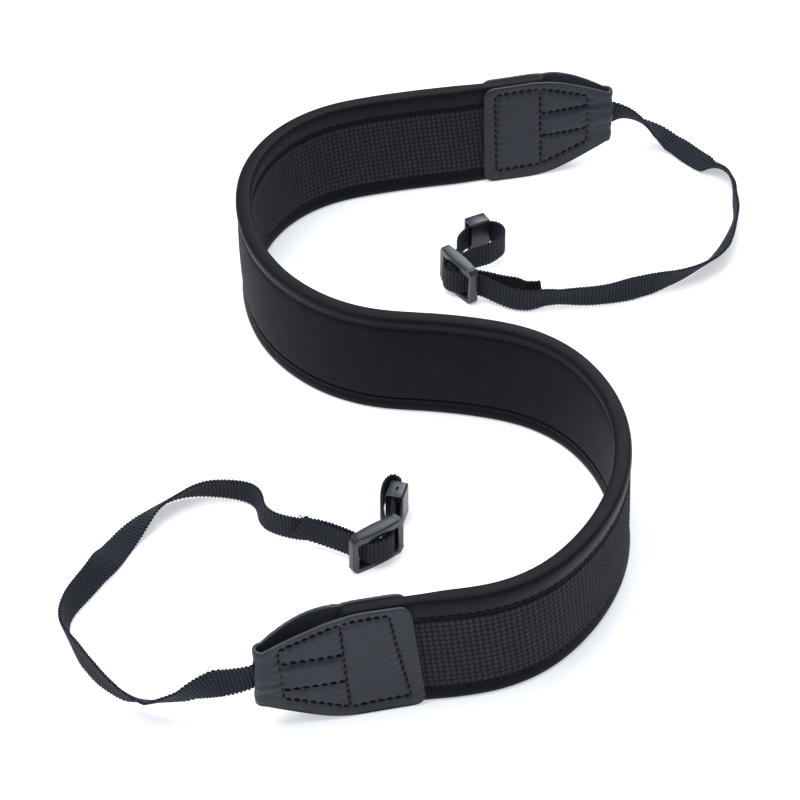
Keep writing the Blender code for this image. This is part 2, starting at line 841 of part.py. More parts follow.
def slider_piece(course):
    """Build a slider: a plate of cells without its two windows, bowed at the rails."""
    columns = slider_columns()
    rows = slider_rows()
    bm = bmesh.new()
    sides = []
    for side in (-1, 1):
        grid = [
            [
                bm.verts.new((x, side * slider_half_thickness(i, j), z))
                for j, z in enumerate(rows)
            ]
            for i, x in enumerate(columns)
        ]
        sides.append(grid)
    cells = {
        (i, j)
        for i in range(len(columns) - 1)
        for j in range(len(rows) - 1)
        if not (i in (1, 2, 4, 5) and j in (1, 2, 3))
    }
    back, face = sides
    for i, j in cells:
        for grid in sides:
            bm.faces.new((grid[i][j], grid[i + 1][j], grid[i + 1][j + 1], grid[i][j + 1]))
        for (a, b), beside in (
            (((i, j), (i, j + 1)), (i - 1, j)),
            (((i + 1, j), (i + 1, j + 1)), (i + 1, j)),
            (((i, j), (i + 1, j)), (i, j - 1)),
            (((i, j + 1), (i + 1, j + 1)), (i, j + 1)),
        ):
            if beside not in cells:
                bm.faces.new((back[a[0]][a[1]], back[b[0]][b[1]], face[b[0]][b[1]], face[a[0]][a[1]]))
    bmesh.ops.delete(bm, geom=[v for v in bm.verts if not v.link_faces], context="VERTS")
    bmesh.ops.recalc_face_normals(bm, faces=bm.faces)
    corners = [
        edge for edge in bm.edges
        if all(abs(abs(v.co.x) - SLIDER_LENGTH / 2) < 1e-7 for v in edge.verts)
        and abs(edge.verts[0].co.y - edge.verts[1].co.y) > 1e-7
        and all(v.co.z in (0.0, edge.verts[0].co.z) for v in edge.verts)
        and min(edge.verts[0].co.z, SLIDER_HEIGHT - edge.verts[0].co.z) < 1e-7
    ]
    bmesh.ops.bevel(
        bm, geom=corners, offset=SLIDER_CORNER, segments=3, profile=0.5, affect="EDGES", material=-1
    )
    sharp = [edge for edge in bm.edges if edge.calc_face_angle(0.0) > math.radians(50)]
    bmesh.ops.bevel(
        bm, geom=sharp, offset=SLIDER_EDGE, segments=1, profile=0.5, affect="EDGES", material=-1
    )
    return add_object("slider_" + course.end.name, bm, PLASTIC, course.slider_matrix())


def keeper_piece(course):
    """Build a keeper: a rounded rectangular sleeve, one with a small slot in its top."""
    name = "keeper_" + course.end.name
    bm = bmesh.new()
    bmesh.ops.create_cube(bm, size=1.0)
    bmesh.ops.scale(bm, vec=(KEEPER_LENGTH, KEEPER_WIDTH, KEEPER_HEIGHT), verts=bm.verts)
    long_edges = [edge for edge in bm.edges if abs(edge.verts[0].co.x - edge.verts[1].co.x) > 1e-7]
    bmesh.ops.bevel(
        bm, geom=long_edges, offset=KEEPER_CORNER, segments=2, profile=0.5, affect="EDGES", material=-1
    )
    ends = [face for face in bm.faces if abs(face.normal.x) > 0.9]
    bmesh.ops.inset_individual(bm, faces=ends, thickness=KEEPER_WALL, use_even_offset=True)
    rims = [edge for face in ends for edge in face.edges]
    bmesh.ops.delete(bm, geom=ends, context="FACES_ONLY")
    bmesh.ops.bridge_loops(bm, edges=rims)
    keeper = add_object(name, bm, PLASTIC, course.keeper_matrix())
    if course.end.keeper_slot:
        bm = bmesh.new()
        bmesh.ops.create_cube(bm, size=1.0)
        size = (KEEPER_SLOT_LENGTH, KEEPER_SLOT_WIDTH, 2 * KEEPER_WALL)
        bmesh.ops.scale(bm, vec=size, verts=bm.verts)
        top = Matrix.Translation((0.0, 0.0, KEEPER_HEIGHT / 2))
        cutter = add_object(name + "_slot_cutter", bm, PLASTIC, course.keeper_matrix() @ top)
        cutter.hide_render = True
        cutter.display_type = "WIRE"
        cut = keeper.modifiers.new("slot", "BOOLEAN")
        cut.operation = "DIFFERENCE"
        cut.solver = "EXACT"
        cut.object = cutter
    return keeper


def main():
    """Build every piece of the neck strap."""
    clear_scene()
    route = band_route()
    add_object("neoprene_pad", sweep_section(route, core_section), NEOPRENE)
    add_object("woven_strip", sweep_section(route, weave_section), WEAVE)
    add_object("binding_lower", sweep_section(route, lower_binding_section), BINDING)
    add_object("binding_upper", sweep_section(route, upper_binding_section), BINDING)
    for end, from_start in ((NEAR_STRAP, True), (FAR_STRAP, False)):
        tab_piece("end_tab_" + end.name, route, from_start)
        course = StrapCourse(end, route, from_start)
        add_object("strap_" + end.name, loft(course.rings()), WEBBING)
        slider_piece(course)
        keeper_piece(course)


main()
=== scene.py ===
"""Camera neck strap, dressed for its picture.

The strap lies on its lower edge: a padded neck band with a woven strip and two
bindings, a folded leather tab at each end, and a webbing strap out of each tab
that runs through a slider, round a lug loop with a keeper, and back to a tail.

Metres, +Z up, the origin on the floor under the middle of the band. Distances
along the band run from the fold of the near tab to the fold of the far one.
"""

import sys

import json
import logging
import math
from dataclasses import dataclass, field
from enum import Enum
from typing import Any, NamedTuple, Optional, Sequence

import bmesh
import bpy
import numpy as np
from mathutils import Matrix, Vector

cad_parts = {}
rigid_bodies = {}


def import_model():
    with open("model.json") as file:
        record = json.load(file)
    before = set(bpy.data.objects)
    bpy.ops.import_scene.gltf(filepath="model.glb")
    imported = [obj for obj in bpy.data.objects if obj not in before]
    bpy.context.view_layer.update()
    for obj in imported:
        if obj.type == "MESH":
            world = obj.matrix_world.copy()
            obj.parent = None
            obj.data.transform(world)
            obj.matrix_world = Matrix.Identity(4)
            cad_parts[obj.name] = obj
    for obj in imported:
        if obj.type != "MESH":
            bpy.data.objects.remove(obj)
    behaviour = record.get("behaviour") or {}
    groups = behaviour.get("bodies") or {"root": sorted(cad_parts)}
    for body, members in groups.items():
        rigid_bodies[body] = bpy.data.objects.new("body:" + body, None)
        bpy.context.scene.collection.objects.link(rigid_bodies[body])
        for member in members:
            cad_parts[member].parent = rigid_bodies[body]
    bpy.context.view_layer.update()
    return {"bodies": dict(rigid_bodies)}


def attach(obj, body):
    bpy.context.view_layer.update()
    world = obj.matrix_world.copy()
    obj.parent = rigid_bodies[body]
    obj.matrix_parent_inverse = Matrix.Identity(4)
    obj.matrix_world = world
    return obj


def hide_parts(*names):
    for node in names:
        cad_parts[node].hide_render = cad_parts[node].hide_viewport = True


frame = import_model()

MM = 0.001
CM = 0.01
GAP = 0.3 * MM
SAME_PLACE = 1e-6
FACING = 0.9
CORNER_SEGMENTS = 5
EDGE_SEGMENTS = 3
MOULDED_CREASE = 35.0
TURN = 2 * math.pi
THREADS = "threads"
CUT_EDGE = "cut_edge"
INSIDE = "inside"
BODY = next(iter(frame["bodies"]))

log = logging.getLogger("neck_strap")

Colour = tuple[float, float, float]


class Slot(Enum):
    """The material slots of the strap."""

    NEOPRENE = "neoprene"
    WEAVE = "weave"
    BINDING = "binding"
    LEATHER = "leather"
    WEBBING = "webbing"
    PLASTIC = "plastic"


class Side(Enum):
    """The two faces of the band: the woven one on the right, the plain one on the left."""

    WOVEN = 1
    PLAIN = -1


class End(Enum):
    """The two ends of the band."""

    NEAR = "near"
    FAR = "far"


class Value:
    """A number that varies over a surface. Arithmetic on it adds Math nodes."""

    def __init__(self, tree: bpy.types.NodeTree, socket: bpy.types.NodeSocket) -> None:
        """Wrap one output socket of a node tree."""
        self.tree = tree
        self.socket = socket

    def math(self, operation: str, first: Any, second: Any = None) -> "Value":
        """Add one Math node.

        Args:
            operation: The Math node's operation.
            first: A Value or a number.
            second: A Value or a number, or None for an operation on one value.

        Returns:
            The node's result.
        """
        node = self.tree.nodes.new("ShaderNodeMath")
        node.operation = operation
        for socket, given in zip(node.inputs, (first, second)):
            if isinstance(given, Value):
                self.tree.links.new(given.socket, socket)
            elif given is not None:
                socket.default_value = given
        return Value(self.tree, node.outputs[0])

    def __add__(self, other: Any) -> "Value":
        """Return self + other."""
        return self.math("ADD", self, other)

    def __sub__(self, other: Any) -> "Value":
        """Return self - other."""
        return self.math("SUBTRACT", self, other)

    def __rsub__(self, other: Any) -> "Value":
        """Return other - self."""
        return self.math("SUBTRACT", other, self)

    def __mul__(self, other: Any) -> "Value":
        """Return self * other."""
        return self.math("MULTIPLY", self, other)

    def __truediv__(self, other: Any) -> "Value":
        """Return self / other."""
        return self.math("DIVIDE", self, other)

    def __pow__(self, other: Any) -> "Value":
        """Return self raised to other."""
        return self.math("POWER", self, other)

    def __mod__(self, other: float) -> "Value":
        """Return self modulo other, never negative."""
        return self.math("FLOORED_MODULO", self, other)

    def floor(self) -> "Value":
        """Return the next lower whole number."""
        return self.math("FLOOR", self)

    def __abs__(self) -> "Value":
        """Return the absolute value."""
        return self.math("ABSOLUTE", self)

    def sine(self) -> "Value":
        """Return the sine."""
        return self.math("SINE", self)

    def wave(self, pitch: float) -> "Value":
        """Return a wave from -1 to 1 that repeats with a pitch."""
        return (self * (TURN / pitch)).sine()

    def stripes(self, pitch: float) -> "Value":
        """Return a wave from 0 to 1 that repeats with a pitch."""
        return self.wave(pitch) * 0.5 + 0.5

    def arches(self, pitch: float) -> "Value":
        """Return arches from 0 to 1, one for each pitch."""
        return abs((self * (math.pi / pitch)).sine())

    def between(self, low: float, high: float) -> "Value":
        """Return low where self is 0 and high where it is 1."""
        return self * (high - low) + low


def hump(share: Any, power: float) -> Any:
    """Return a hump over a Value or an array of shares: 1 at a half, 0 at 0 and 1."""
    return 1.0 - abs(share * 2.0 - 1.0) ** power


class Surface:
    """A Principled material that is built node by node."""

    def __init__(
        self, name: str, roughness: float, sheen: float = 0.0, specular: float = 0.5
    ) -> None:
        """Start the material with the values that are the same all over it."""
        self.material = bpy.data.materials.new(name)
        self.material.use_nodes = True
        self.tree = self.material.node_tree
        self.shader = self.tree.nodes["Principled BSDF"]
        self.shader.inputs["Roughness"].default_value = roughness
        self.shader.inputs["Sheen Weight"].default_value = sheen
        self.shader.inputs["Sheen Roughness"].default_value = 0.4
        self.shader.inputs["Specular IOR Level"].default_value = specular

    def node(
        self, kind: str, settings: Optional[dict] = None, inputs: Optional[dict] = None
    ) -> bpy.types.Node:
        """Add one node.

        Args:
            kind: The node's type.
            settings: Its properties, set before its sockets.
            inputs: A value, a Value or a socket for each named or numbered input.

        Returns:
            The new node.
        """
        node = self.tree.nodes.new(kind)
        for key, given in (settings or {}).items():
            setattr(node, key, given)
        for key, given in (inputs or {}).items():
            self.feed(node.inputs[key], given)
        return node

    def feed(self, socket: bpy.types.NodeSocket, given: Any) -> None:
        """Link a Value or a socket to an input, or set the input's own value."""
        if isinstance(given, Value):
            self.tree.links.new(given.socket, socket)
        elif isinstance(given, bpy.types.NodeSocket):
            self.tree.links.new(given, socket)
        else:
            socket.default_value = given

    def along_across(self) -> tuple[Value, Value]:
        """Return the millimetres along and across the piece, from its UV map."""
        uv = self.node("ShaderNodeUVMap", {"uv_map": THREADS})
        split = self.node("ShaderNodeSeparateXYZ", inputs={0: uv.outputs[0]})
        along, across = (Value(self.tree, split.outputs[i]) * (CM / MM) for i in (0, 1))
        return along, across

    def mark(self, name: str) -> Value:
        """Return a number that the piece's mesh carries."""
        node = self.node("ShaderNodeAttribute", {"attribute_name": name})
        return Value(self.tree, node.outputs["Fac"])

    def noise(self, grain: float, detail: float = 3.0) -> Value:
        """Return noise in object space.

        Args:
            grain: The size of one blotch in metres.
            detail: How many finer layers it has.

        Returns:
            The noise, from 0 to 1.
        """
        place = self.node("ShaderNodeTexCoord").outputs["Object"]
        inputs = {"Vector": place, "Scale": 1 / grain, "Detail": detail}
        return Value(self.tree, self.node("ShaderNodeTexNoise", inputs=inputs).outputs["Fac"])

    def pebbles(self, grain: float) -> Value:
        """Return the distance from the middle of each pebble of a grain, in object space."""
        place = self.node("ShaderNodeTexCoord").outputs["Object"]
        cells = self.node("ShaderNodeTexVoronoi", inputs={"Vector": place, "Scale": 1 / grain})
        return Value(self.tree, cells.outputs["Distance"])

    def ease(self, given: Value, low: float, high: float) -> Value:
        """Return 0 below low and 1 above high, with a smooth rise between them."""
        node = self.node(
            "ShaderNodeMapRange",
            {"interpolation_type": "SMOOTHSTEP"},
            {"Value": given, "From Min": low, "From Max": high},
        )
        return Value(self.tree, node.outputs[0])

    def blend(self, share: Value, first: Any, second: Any) -> bpy.types.NodeSocket:
        """Return a colour from first to second; each is a colour or a socket."""
        colours = [(*c, 1.0) if isinstance(c, tuple) else c for c in (first, second)]
        inputs = {0: share, 6: colours[0], 7: colours[1]}
        return self.node("ShaderNodeMix", {"data_type": "RGBA"}, inputs).outputs[2]

    def wear(self, colour: bpy.types.NodeSocket, roughness: Optional[Value] = None) -> None:
        """Feed the shader's colour, and its roughness where that varies."""
        self.feed(self.shader.inputs["Base Color"], colour)
        if roughness is not None:
            self.feed(self.shader.inputs["Roughness"], roughness)

    def raise_by(self, height: Value, depth: float, strength: float = 1.0) -> None:
        """Bump the surface by a height from 0 to 1 that stands for a depth in metres."""
        inputs = {"Height": height, "Distance": depth, "Strength": strength}
        bump = self.node("ShaderNodeBump", inputs=inputs)
        self.feed(self.shader.inputs["Normal"], bump.outputs[0])


@dataclass(frozen=True)
class WovenFinish:
    """Coarse weave: slanted cells in leaning columns, painted darker in the grooves between them as
    shade and lighter on their crowns as a highlight.

    Its pitches are in millimetres. The slant is the share of a row that a cell climbs over
    one column, and the lean is how far a column runs along the strip per height.
    """

    # groove is painted shade for the recesses between the cells; cell is the crown colour, lighter
    # as a painted highlight.
    groove: Colour = (0.006, 0.006, 0.008)
    cell: Colour = (0.046, 0.047, 0.052)
    pitch_along: float = 1.94
    pitch_across: float = 1.95
    slant: float = 0.35
    lean: float = 0.12
    fullness: float = 2.5
    threads_per_row: int = 3
    fuzz_grain: float = 0.6 * MM
    patch_grain: float = 7 * MM
    bump_depth: float = 0.22 * MM

    def place_in_cell(self, along: Any, across: Any) -> tuple[Any, Any]:
        """Return the shares of a cell along and up it, for Values or arrays in millimetres."""
        column = ((along + across * self.lean) / self.pitch_along) % 1.0
        return column, (across / self.pitch_across - column * self.slant) % 1.0

    def build(self) -> bpy.types.Material:
        """Return the material."""
        surface = Surface("woven_strip_finish", roughness=0.85, sheen=0.05, specular=0.15)
        column, row = self.place_in_cell(*surface.along_across())
        crown = hump(column, self.fullness) * hump(row, self.fullness)
        threads = row.stripes(1 / self.threads_per_row)
        fuzz = surface.noise(self.fuzz_grain)
        patch = surface.noise(self.patch_grain)
        # Painted light: the colour falls to the groove colour between the cells as painted shade
        # and rises to the cell colour on their crowns as a painted highlight.
        share = crown * threads.between(0.8, 1.0) * fuzz.between(0.35, 1.25)
        share = share * patch.between(0.7, 1.3)
        surface.wear(surface.blend(share, self.groove, self.cell))
        surface.raise_by(crown * 0.8 + threads * crown * 0.1 + fuzz * 0.2, self.bump_depth, 0.85)
        return surface.material

    def relief(self, along: np.ndarray, across: np.ndarray) -> np.ndarray:
        """Return the height of the cells, from 0 to 1, at distances in millimetres."""
        column, row = self.place_in_cell(along, across)
        return hump(column, self.fullness) * hump(row, self.fullness)


@dataclass(frozen=True)
class JerseyFinish:
    """Fine matte jersey on the neoprene. Its pitches are in millimetres."""

    base: Colour = (0.006, 0.0065, 0.008)
    light: Colour = (0.015, 0.016, 0.020)
    wale_pitch: float = 0.55
    course_pitch: float = 0.7
    cloud_grain: float = 9 * MM
    mottle_grain: float = 1.4 * MM
    bump_depth: float = 0.08 * MM

    def build(self) -> bpy.types.Material:
        """Return the material."""
        surface = Surface("jersey_finish", roughness=0.8, sheen=0.04, specular=0.12)
        along, across = surface.along_across()
        knit = along.wave(self.wale_pitch) * across.wave(self.course_pitch)
        cloud = surface.noise(self.cloud_grain)
        mottle = surface.noise(self.mottle_grain, 4.0)
        share = (knit * 0.25 + 0.5) * cloud.between(0.3, 1.2) + mottle.between(-0.3, 0.3)
        surface.wear(surface.blend(share, self.base, self.light))
        surface.raise_by(knit * 0.3 + mottle, self.bump_depth, 0.7)
        return surface.material


@dataclass(frozen=True)
class BindingFinish:
    """Smooth stretch binding with a faint twill. Its pitch is in millimetres."""

    base: Colour = (0.002, 0.0022, 0.0035)
    light: Colour = (0.007, 0.0075, 0.011)
    twill_pitch: float = 0.6
    twill_slant: float = 0.6
    cloud_grain: float = 6 * MM
    crease_grain: float = 1.6 * MM
    bump_depth: float = 0.06 * MM

    def build(self) -> bpy.types.Material:
        """Return the material."""
        surface = Surface("binding_finish", roughness=0.5, sheen=0.02, specular=0.13)
        along, across = surface.along_across()
        twill = (along + across * self.twill_slant).stripes(self.twill_pitch)
        cloud = surface.noise(self.cloud_grain)
        tint = surface.blend(twill * 0.35 + cloud * 0.5, self.base, self.light)
        surface.wear(tint, cloud.between(0.42, 0.62))
        surface.raise_by(twill * 0.6 + surface.noise(self.crease_grain) * 0.6, self.bump_depth, 0.7)
        return surface.material


@dataclass(frozen=True)
class LeatherFinish:
    """Smooth leather with a fine grain, lighter at its cut edges and inside, where the flesh side
    is paler and painted light lifts the shaded inner faces.
    """

    base: Colour = (0.015, 0.0165, 0.0235)
    light: Colour = (0.0275, 0.029, 0.040)
    # inside is partly the paler flesh side and partly painted light on the shaded inner faces.
    inside: Colour = (0.060, 0.064, 0.075)
    cut_edge: Colour = (0.062, 0.063, 0.070)
    pore_grain: float = 0.55 * MM
    cloud_grain: float = 7 * MM
    crease_grain: float = 2.2 * MM
    bump_depth: float = 0.12 * MM

    def build(self) -> bpy.types.Material:
        """Return the material."""
        surface = Surface("leather_finish", roughness=0.45, specular=0.3)
        pores = surface.pebbles(self.pore_grain)
        cloud = surface.noise(self.cloud_grain, 4.0)
        share = surface.ease(cloud, 0.25, 0.8) * 0.8 + pores * 0.15
        tint = surface.blend(share, self.base, self.light)
        # The inner faces are painted lighter: the flesh side is paler, and painted light stands in
        # for light that doesn't reach them.
        tint = surface.blend(surface.mark(INSIDE), tint, self.inside)
        tint = surface.blend(surface.mark(CUT_EDGE) * 0.85, tint, self.cut_edge)
        surface.wear(tint, cloud.between(0.36, 0.58))
        creases = surface.noise(self.crease_grain, 5.0)
        surface.raise_by(pores * 0.45 + creases * 0.8, self.bump_depth, 0.75)
        return surface.material


@dataclass(frozen=True)
class WebbingFinish:
    """Webbing ribbed across, with cords along it, painted dark as shade in the troughs between
    them. Its pitches are in millimetres.
    """

    # groove is painted shade for the troughs between the ribs and the cords.
    groove: Colour = (0.003, 0.003, 0.004)
    rib: Colour = (0.032, 0.037, 0.052)
    pitch: float = 1.3
    cord_pitch: float = 1.25
    thread_pitch: float = 0.45
    thread_slant: float = 0.35
    fuzz_grain: float = 0.6 * MM
    bump_depth: float = 0.2 * MM

    def build(self) -> bpy.types.Material:
        """Return the material."""
        surface = Surface("webbing_finish", roughness=0.65, sheen=0.04, specular=0.2)
        along, across = surface.along_across()
        rib = along.arches(self.pitch)
        shift = ((along / self.pitch).floor() % 2.0) * 0.5
        cord = (across / self.cord_pitch + shift).arches(1.0)
        threads = (across + along * self.thread_slant).stripes(self.thread_pitch)
        fuzz = surface.noise(self.fuzz_grain)
        # Painted shade: the colour falls to the groove colour in the troughs between ribs and
        # cords.
        share = (rib ** 0.8) * (cord ** 0.7).between(0.2, 1.0)
        share = share * threads.between(0.7, 1.0) * fuzz.between(0.5, 1.4)
        surface.wear(surface.blend(share, self.groove, self.rib), fuzz.between(0.6, 0.8))
        surface.raise_by(rib * cord * 0.8 + threads * rib * 0.2, self.bump_depth, 0.9)
        return surface.material


@dataclass(frozen=True)
class PlasticFinish:
    """Moulded charcoal plastic, satin, its tone and roughness varying a little in soft patches."""

    base: Colour = (0.010, 0.0105, 0.016)
    light: Colour = (0.017, 0.018, 0.026)
    cloud_grain: float = 3.5 * MM
    spark_grain: float = 0.25 * MM
    bump_depth: float = 0.02 * MM

    def build(self) -> bpy.types.Material:
        """Return the material."""
        surface = Surface("plastic_finish", roughness=0.3, specular=0.65)
        cloud = surface.noise(self.cloud_grain)
        surface.wear(surface.blend(cloud, self.base, self.light), cloud.between(0.27, 0.37))
        surface.raise_by(surface.noise(self.spark_grain, 2.0), self.bump_depth, 0.6)
        return surface.material


@dataclass(frozen=True)
class ThreadFinish:
    """Twisted sewing thread."""

    name: str
    base: Colour
    light: Colour
    twist_grain: float = 0.3 * MM
    bump_depth: float = 0.05 * MM

    def build(self) -> bpy.types.Material:
        """Return the material."""
        surface = Surface(self.name, roughness=0.7, sheen=0.02, specular=0.12)
        twist = surface.noise(self.twist_grain, 2.0)
        surface.wear(surface.blend(twist, self.base, self.light))
        surface.raise_by(twist, self.bump_depth, 0.6)
        return surface.material


BINDING_THREAD = ThreadFinish("binding_thread", (0.002, 0.002, 0.003), (0.007, 0.007, 0.009))
TAB_THREAD = ThreadFinish("tab_thread", (0.004, 0.004, 0.005), (0.014, 0.014, 0.016))
LOOSE_THREAD = ThreadFinish("loose_thread", (0.010, 0.010, 0.013), (0.045, 0.047, 0.056))


@dataclass(frozen=True)
class FloorFinish:
    """Plain pale floor."""

    base: Colour = (0.90, 0.90, 0.90)
    light: Colour = (0.93, 0.93, 0.93)
    glow: float = 0.46
    cloud_grain: float = 0.2

    def build(self) -> bpy.types.Material:
        """Return the material."""
        surface = Surface("floor_finish", roughness=0.9, specular=0.1)
        surface.shader.inputs["Emission Color"].default_value = (1.0, 1.0, 1.0, 1.0)
        surface.shader.inputs["Emission Strength"].default_value = self.glow
        surface.wear(surface.blend(surface.noise(self.cloud_grain), self.base, self.light))
        return surface.material


def ease(value: np.ndarray) -> np.ndarray:
    """Ease values from 0 to 1."""
    value = np.clip(value, 0.0, 1.0)
    return value * value * (3 - 2 * value)


def right_of(heading: float) -> Vector:
    """Return the unit plan vector to the right of a heading in radians."""
    return Vector((math.sin(heading), -math.cos(heading), 0.0))


def ahead_of(heading: float) -> Vector:
    """Return the unit plan vector along a heading in radians."""
    return Vector((math.cos(heading), math.sin(heading), 0.0))


def softened(outline: Sequence[tuple[float, float]]) -> np.ndarray:
    """Cut the corners of a closed outline twice, at a quarter of their sides.

    Args:
        outline: Its corner points.

    Returns:
        The softened outline, closed by a copy of its first point.
    """
    points = np.array(outline)
    for _ in range(2):
        after = np.roll(points, -1, axis=0)
        cuts = [points * 0.75 + after * 0.25, points * 0.25 + after * 0.75]
        points = np.stack(cuts, axis=1).reshape(-1, 2)
    return np.vstack([points, points[:1]])


def lengths_along(points: np.ndarray) -> np.ndarray:
    """Return the running length at each point of a line."""
    steps = np.linalg.norm(np.diff(points, axis=0), axis=1)
    return np.concatenate([[0.0], np.cumsum(steps)])


class BentGrid:
    """A flat grid that is bent into a piece, with thread coordinates and marks."""

    def __init__(self, columns: int, rows: int) -> None:
        """Start from a grid of that many cells along and across."""
        self.columns = columns
        self.rows = rows
        self.bm = bmesh.new()
        bmesh.ops.create_grid(self.bm, x_segments=columns, y_segments=rows, size=0.5)
        self.bm.verts.index_update()
        flat = np.array([v.co[:2] for v in self.bm.verts]) + 0.5
        self.i = np.rint(flat[:, 0] * columns).astype(int)
        self.j = np.rint(flat[:, 1] * rows).astype(int)

    def bend(self, places: np.ndarray) -> None:
        """Move each point of the grid to its place."""
        for vert, place in zip(self.bm.verts, places.tolist()):
            vert.co = place

    def lay_threads(self, along: np.ndarray, across: np.ndarray) -> None:
        """Give the grid the UV map that its patterns follow, in centimetres."""
        layer = self.bm.loops.layers.uv.new(THREADS)
        pairs = list(zip((along / CM).tolist(), (across / CM).tolist()))
        for face in self.bm.faces:
            for loop in face.loops:
                loop[layer].uv = pairs[loop.vert.index]

    def mark(self, name: str, values: np.ndarray) -> None:
        """Keep one number for each point under a name."""
        layer = self.bm.verts.layers.float.new(name)
        for vert, value in zip(self.bm.verts, values.tolist()):
            vert[layer] = value

    def close(self) -> bmesh.types.BMesh:
        """Join the first row to the last, close the two ends, and return the bmesh."""
        seam = [v for v, j in zip(self.bm.verts, self.j.tolist()) if j in (0, self.rows)]
        bmesh.ops.remove_doubles(self.bm, verts=seam, dist=SAME_PLACE)
        rims = [edge for edge in self.bm.edges if edge.is_boundary]
        bmesh.ops.holes_fill(self.bm, edges=rims, sides=0)
        return self.bm


def place_object(name: str, data: bpy.types.ID) -> bpy.types.Object:
    """Put a mesh, a light or a camera into the scene."""
    placed = bpy.data.objects.new(name, data)
    bpy.context.scene.collection.objects.link(placed)
    return placed


def round_edges(bm: bmesh.types.BMesh, edges: list, radius: float, segments: int) -> None:
    """Bevel some edges to a radius."""
    bmesh.ops.bevel(
        bm, geom=edges, offset=radius, segments=segments, profile=0.5, affect="EDGES", material=-1
    )


def sharp_edges(bm: bmesh.types.BMesh, degrees: float) -> list[bmesh.types.BMEdge]:
    """Return the edges that turn by more than an angle."""
    return [e for e in bm.edges if e.calc_face_angle(0.0) > math.radians(degrees)]


def add_piece(
    name: str,
    bm: bmesh.types.BMesh,
    material: bpy.types.Material,
    slot: Slot,
    nodes: Sequence[str] = (),
    crease: float = 180.0,
) -> bpy.types.Object:
    """Turn a bmesh into a piece that rides on the strap.

    Args:
        name: The piece's name.
        bm: Its shape, in place. It is freed.
        material: Its finish.
        slot: The record's slot that the finish belongs to; it is not used.
        nodes: The CAD nodes that the piece stands for.
        crease: Edges that turn by more degrees than this stay sharp.

    Returns:
        The new object.
    """
    bmesh.ops.recalc_face_normals(bm, faces=bm.faces)
    mesh = bpy.data.meshes.new(name)
    bm.to_mesh(mesh)
    bm.free()
    mesh.shade_smooth()
    if crease < 180.0:
        mesh.set_sharp_from_angle(angle=math.radians(crease))
    piece = place_object(name, mesh)
    mesh.materials.append(material)
    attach(piece, BODY)
    if nodes:
        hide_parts(*nodes)
    log.info("%s: %d faces", name, len(mesh.polygons))
    return piece


def sew(bm: bmesh.types.BMesh, start: Vector, end: Vector, radius: float) -> None:
    """Add one stitch from start to end."""
    span = end - start
    turn = span.to_track_quat("Z", "Y").to_matrix().to_4x4()
    size = Matrix.Diagonal((radius, radius, span.length / 2, 1.0))
    spot = Matrix.Translation((start + end) / 2) @ turn @ size
    bmesh.ops.create_uvsphere(bm, u_segments=6, v_segments=4, radius=1.0, matrix=spot)


class Route:
    """A smooth plan line whose heading follows a table of turns."""

    def __init__(
        self,
        start: Sequence[float],
        heading: float,
        length: float,
        shares: Sequence[float],
        turns: Sequence[float],
        smoothing: float,
    ) -> None:
        """Integrate the headings from start; corners are averaged over smoothing."""
        steps = 600
        fraction = np.linspace(0.0, 1.0, steps)
        knots = np.concatenate([[0.0], np.cumsum(shares)]) / np.sum(shares)
        headings = np.concatenate([[0.0], np.cumsum(np.radians(turns))])
        angle = np.interp(fraction, knots, headings) + math.radians(heading)
        reach = max(1, int(smoothing / length * steps / 2))
        window = np.hanning(2 * reach + 3)[1:-1]
        padded = np.pad(angle, reach, "reflect", reflect_type="odd")
        self.angle = np.convolve(padded, window / window.sum(), "valid")
        step = length / (steps - 1)
        middle = (self.angle[1:] + self.angle[:-1]) / 2
        self.x = start[0] + np.concatenate([[0.0], np.cumsum(step * np.cos(middle))])
        self.y = start[1] + np.concatenate([[0.0], np.cumsum(step * np.sin(middle))])
        self.s = fraction * length

    def at(self, s: float) -> tuple[Vector, float]:
        """Return the plan point and the heading in radians at distance s."""
        x, y, angle = (float(part) for part in self.many(s))
        return Vector((x, y, 0.0)), angle

    def many(self, s: Any) -> tuple[np.ndarray, np.ndarray, np.ndarray]:
        """Return x, y and the heading at each distance of s."""
        x, y, angle = (np.interp(s, self.s, row) for row in (self.x, self.y, self.angle))
        return x, y, angle

    def move(self, offset: Vector) -> None:
        """Shift the whole line in plan."""
        self.x = self.x + offset.x
        self.y = self.y + offset.y


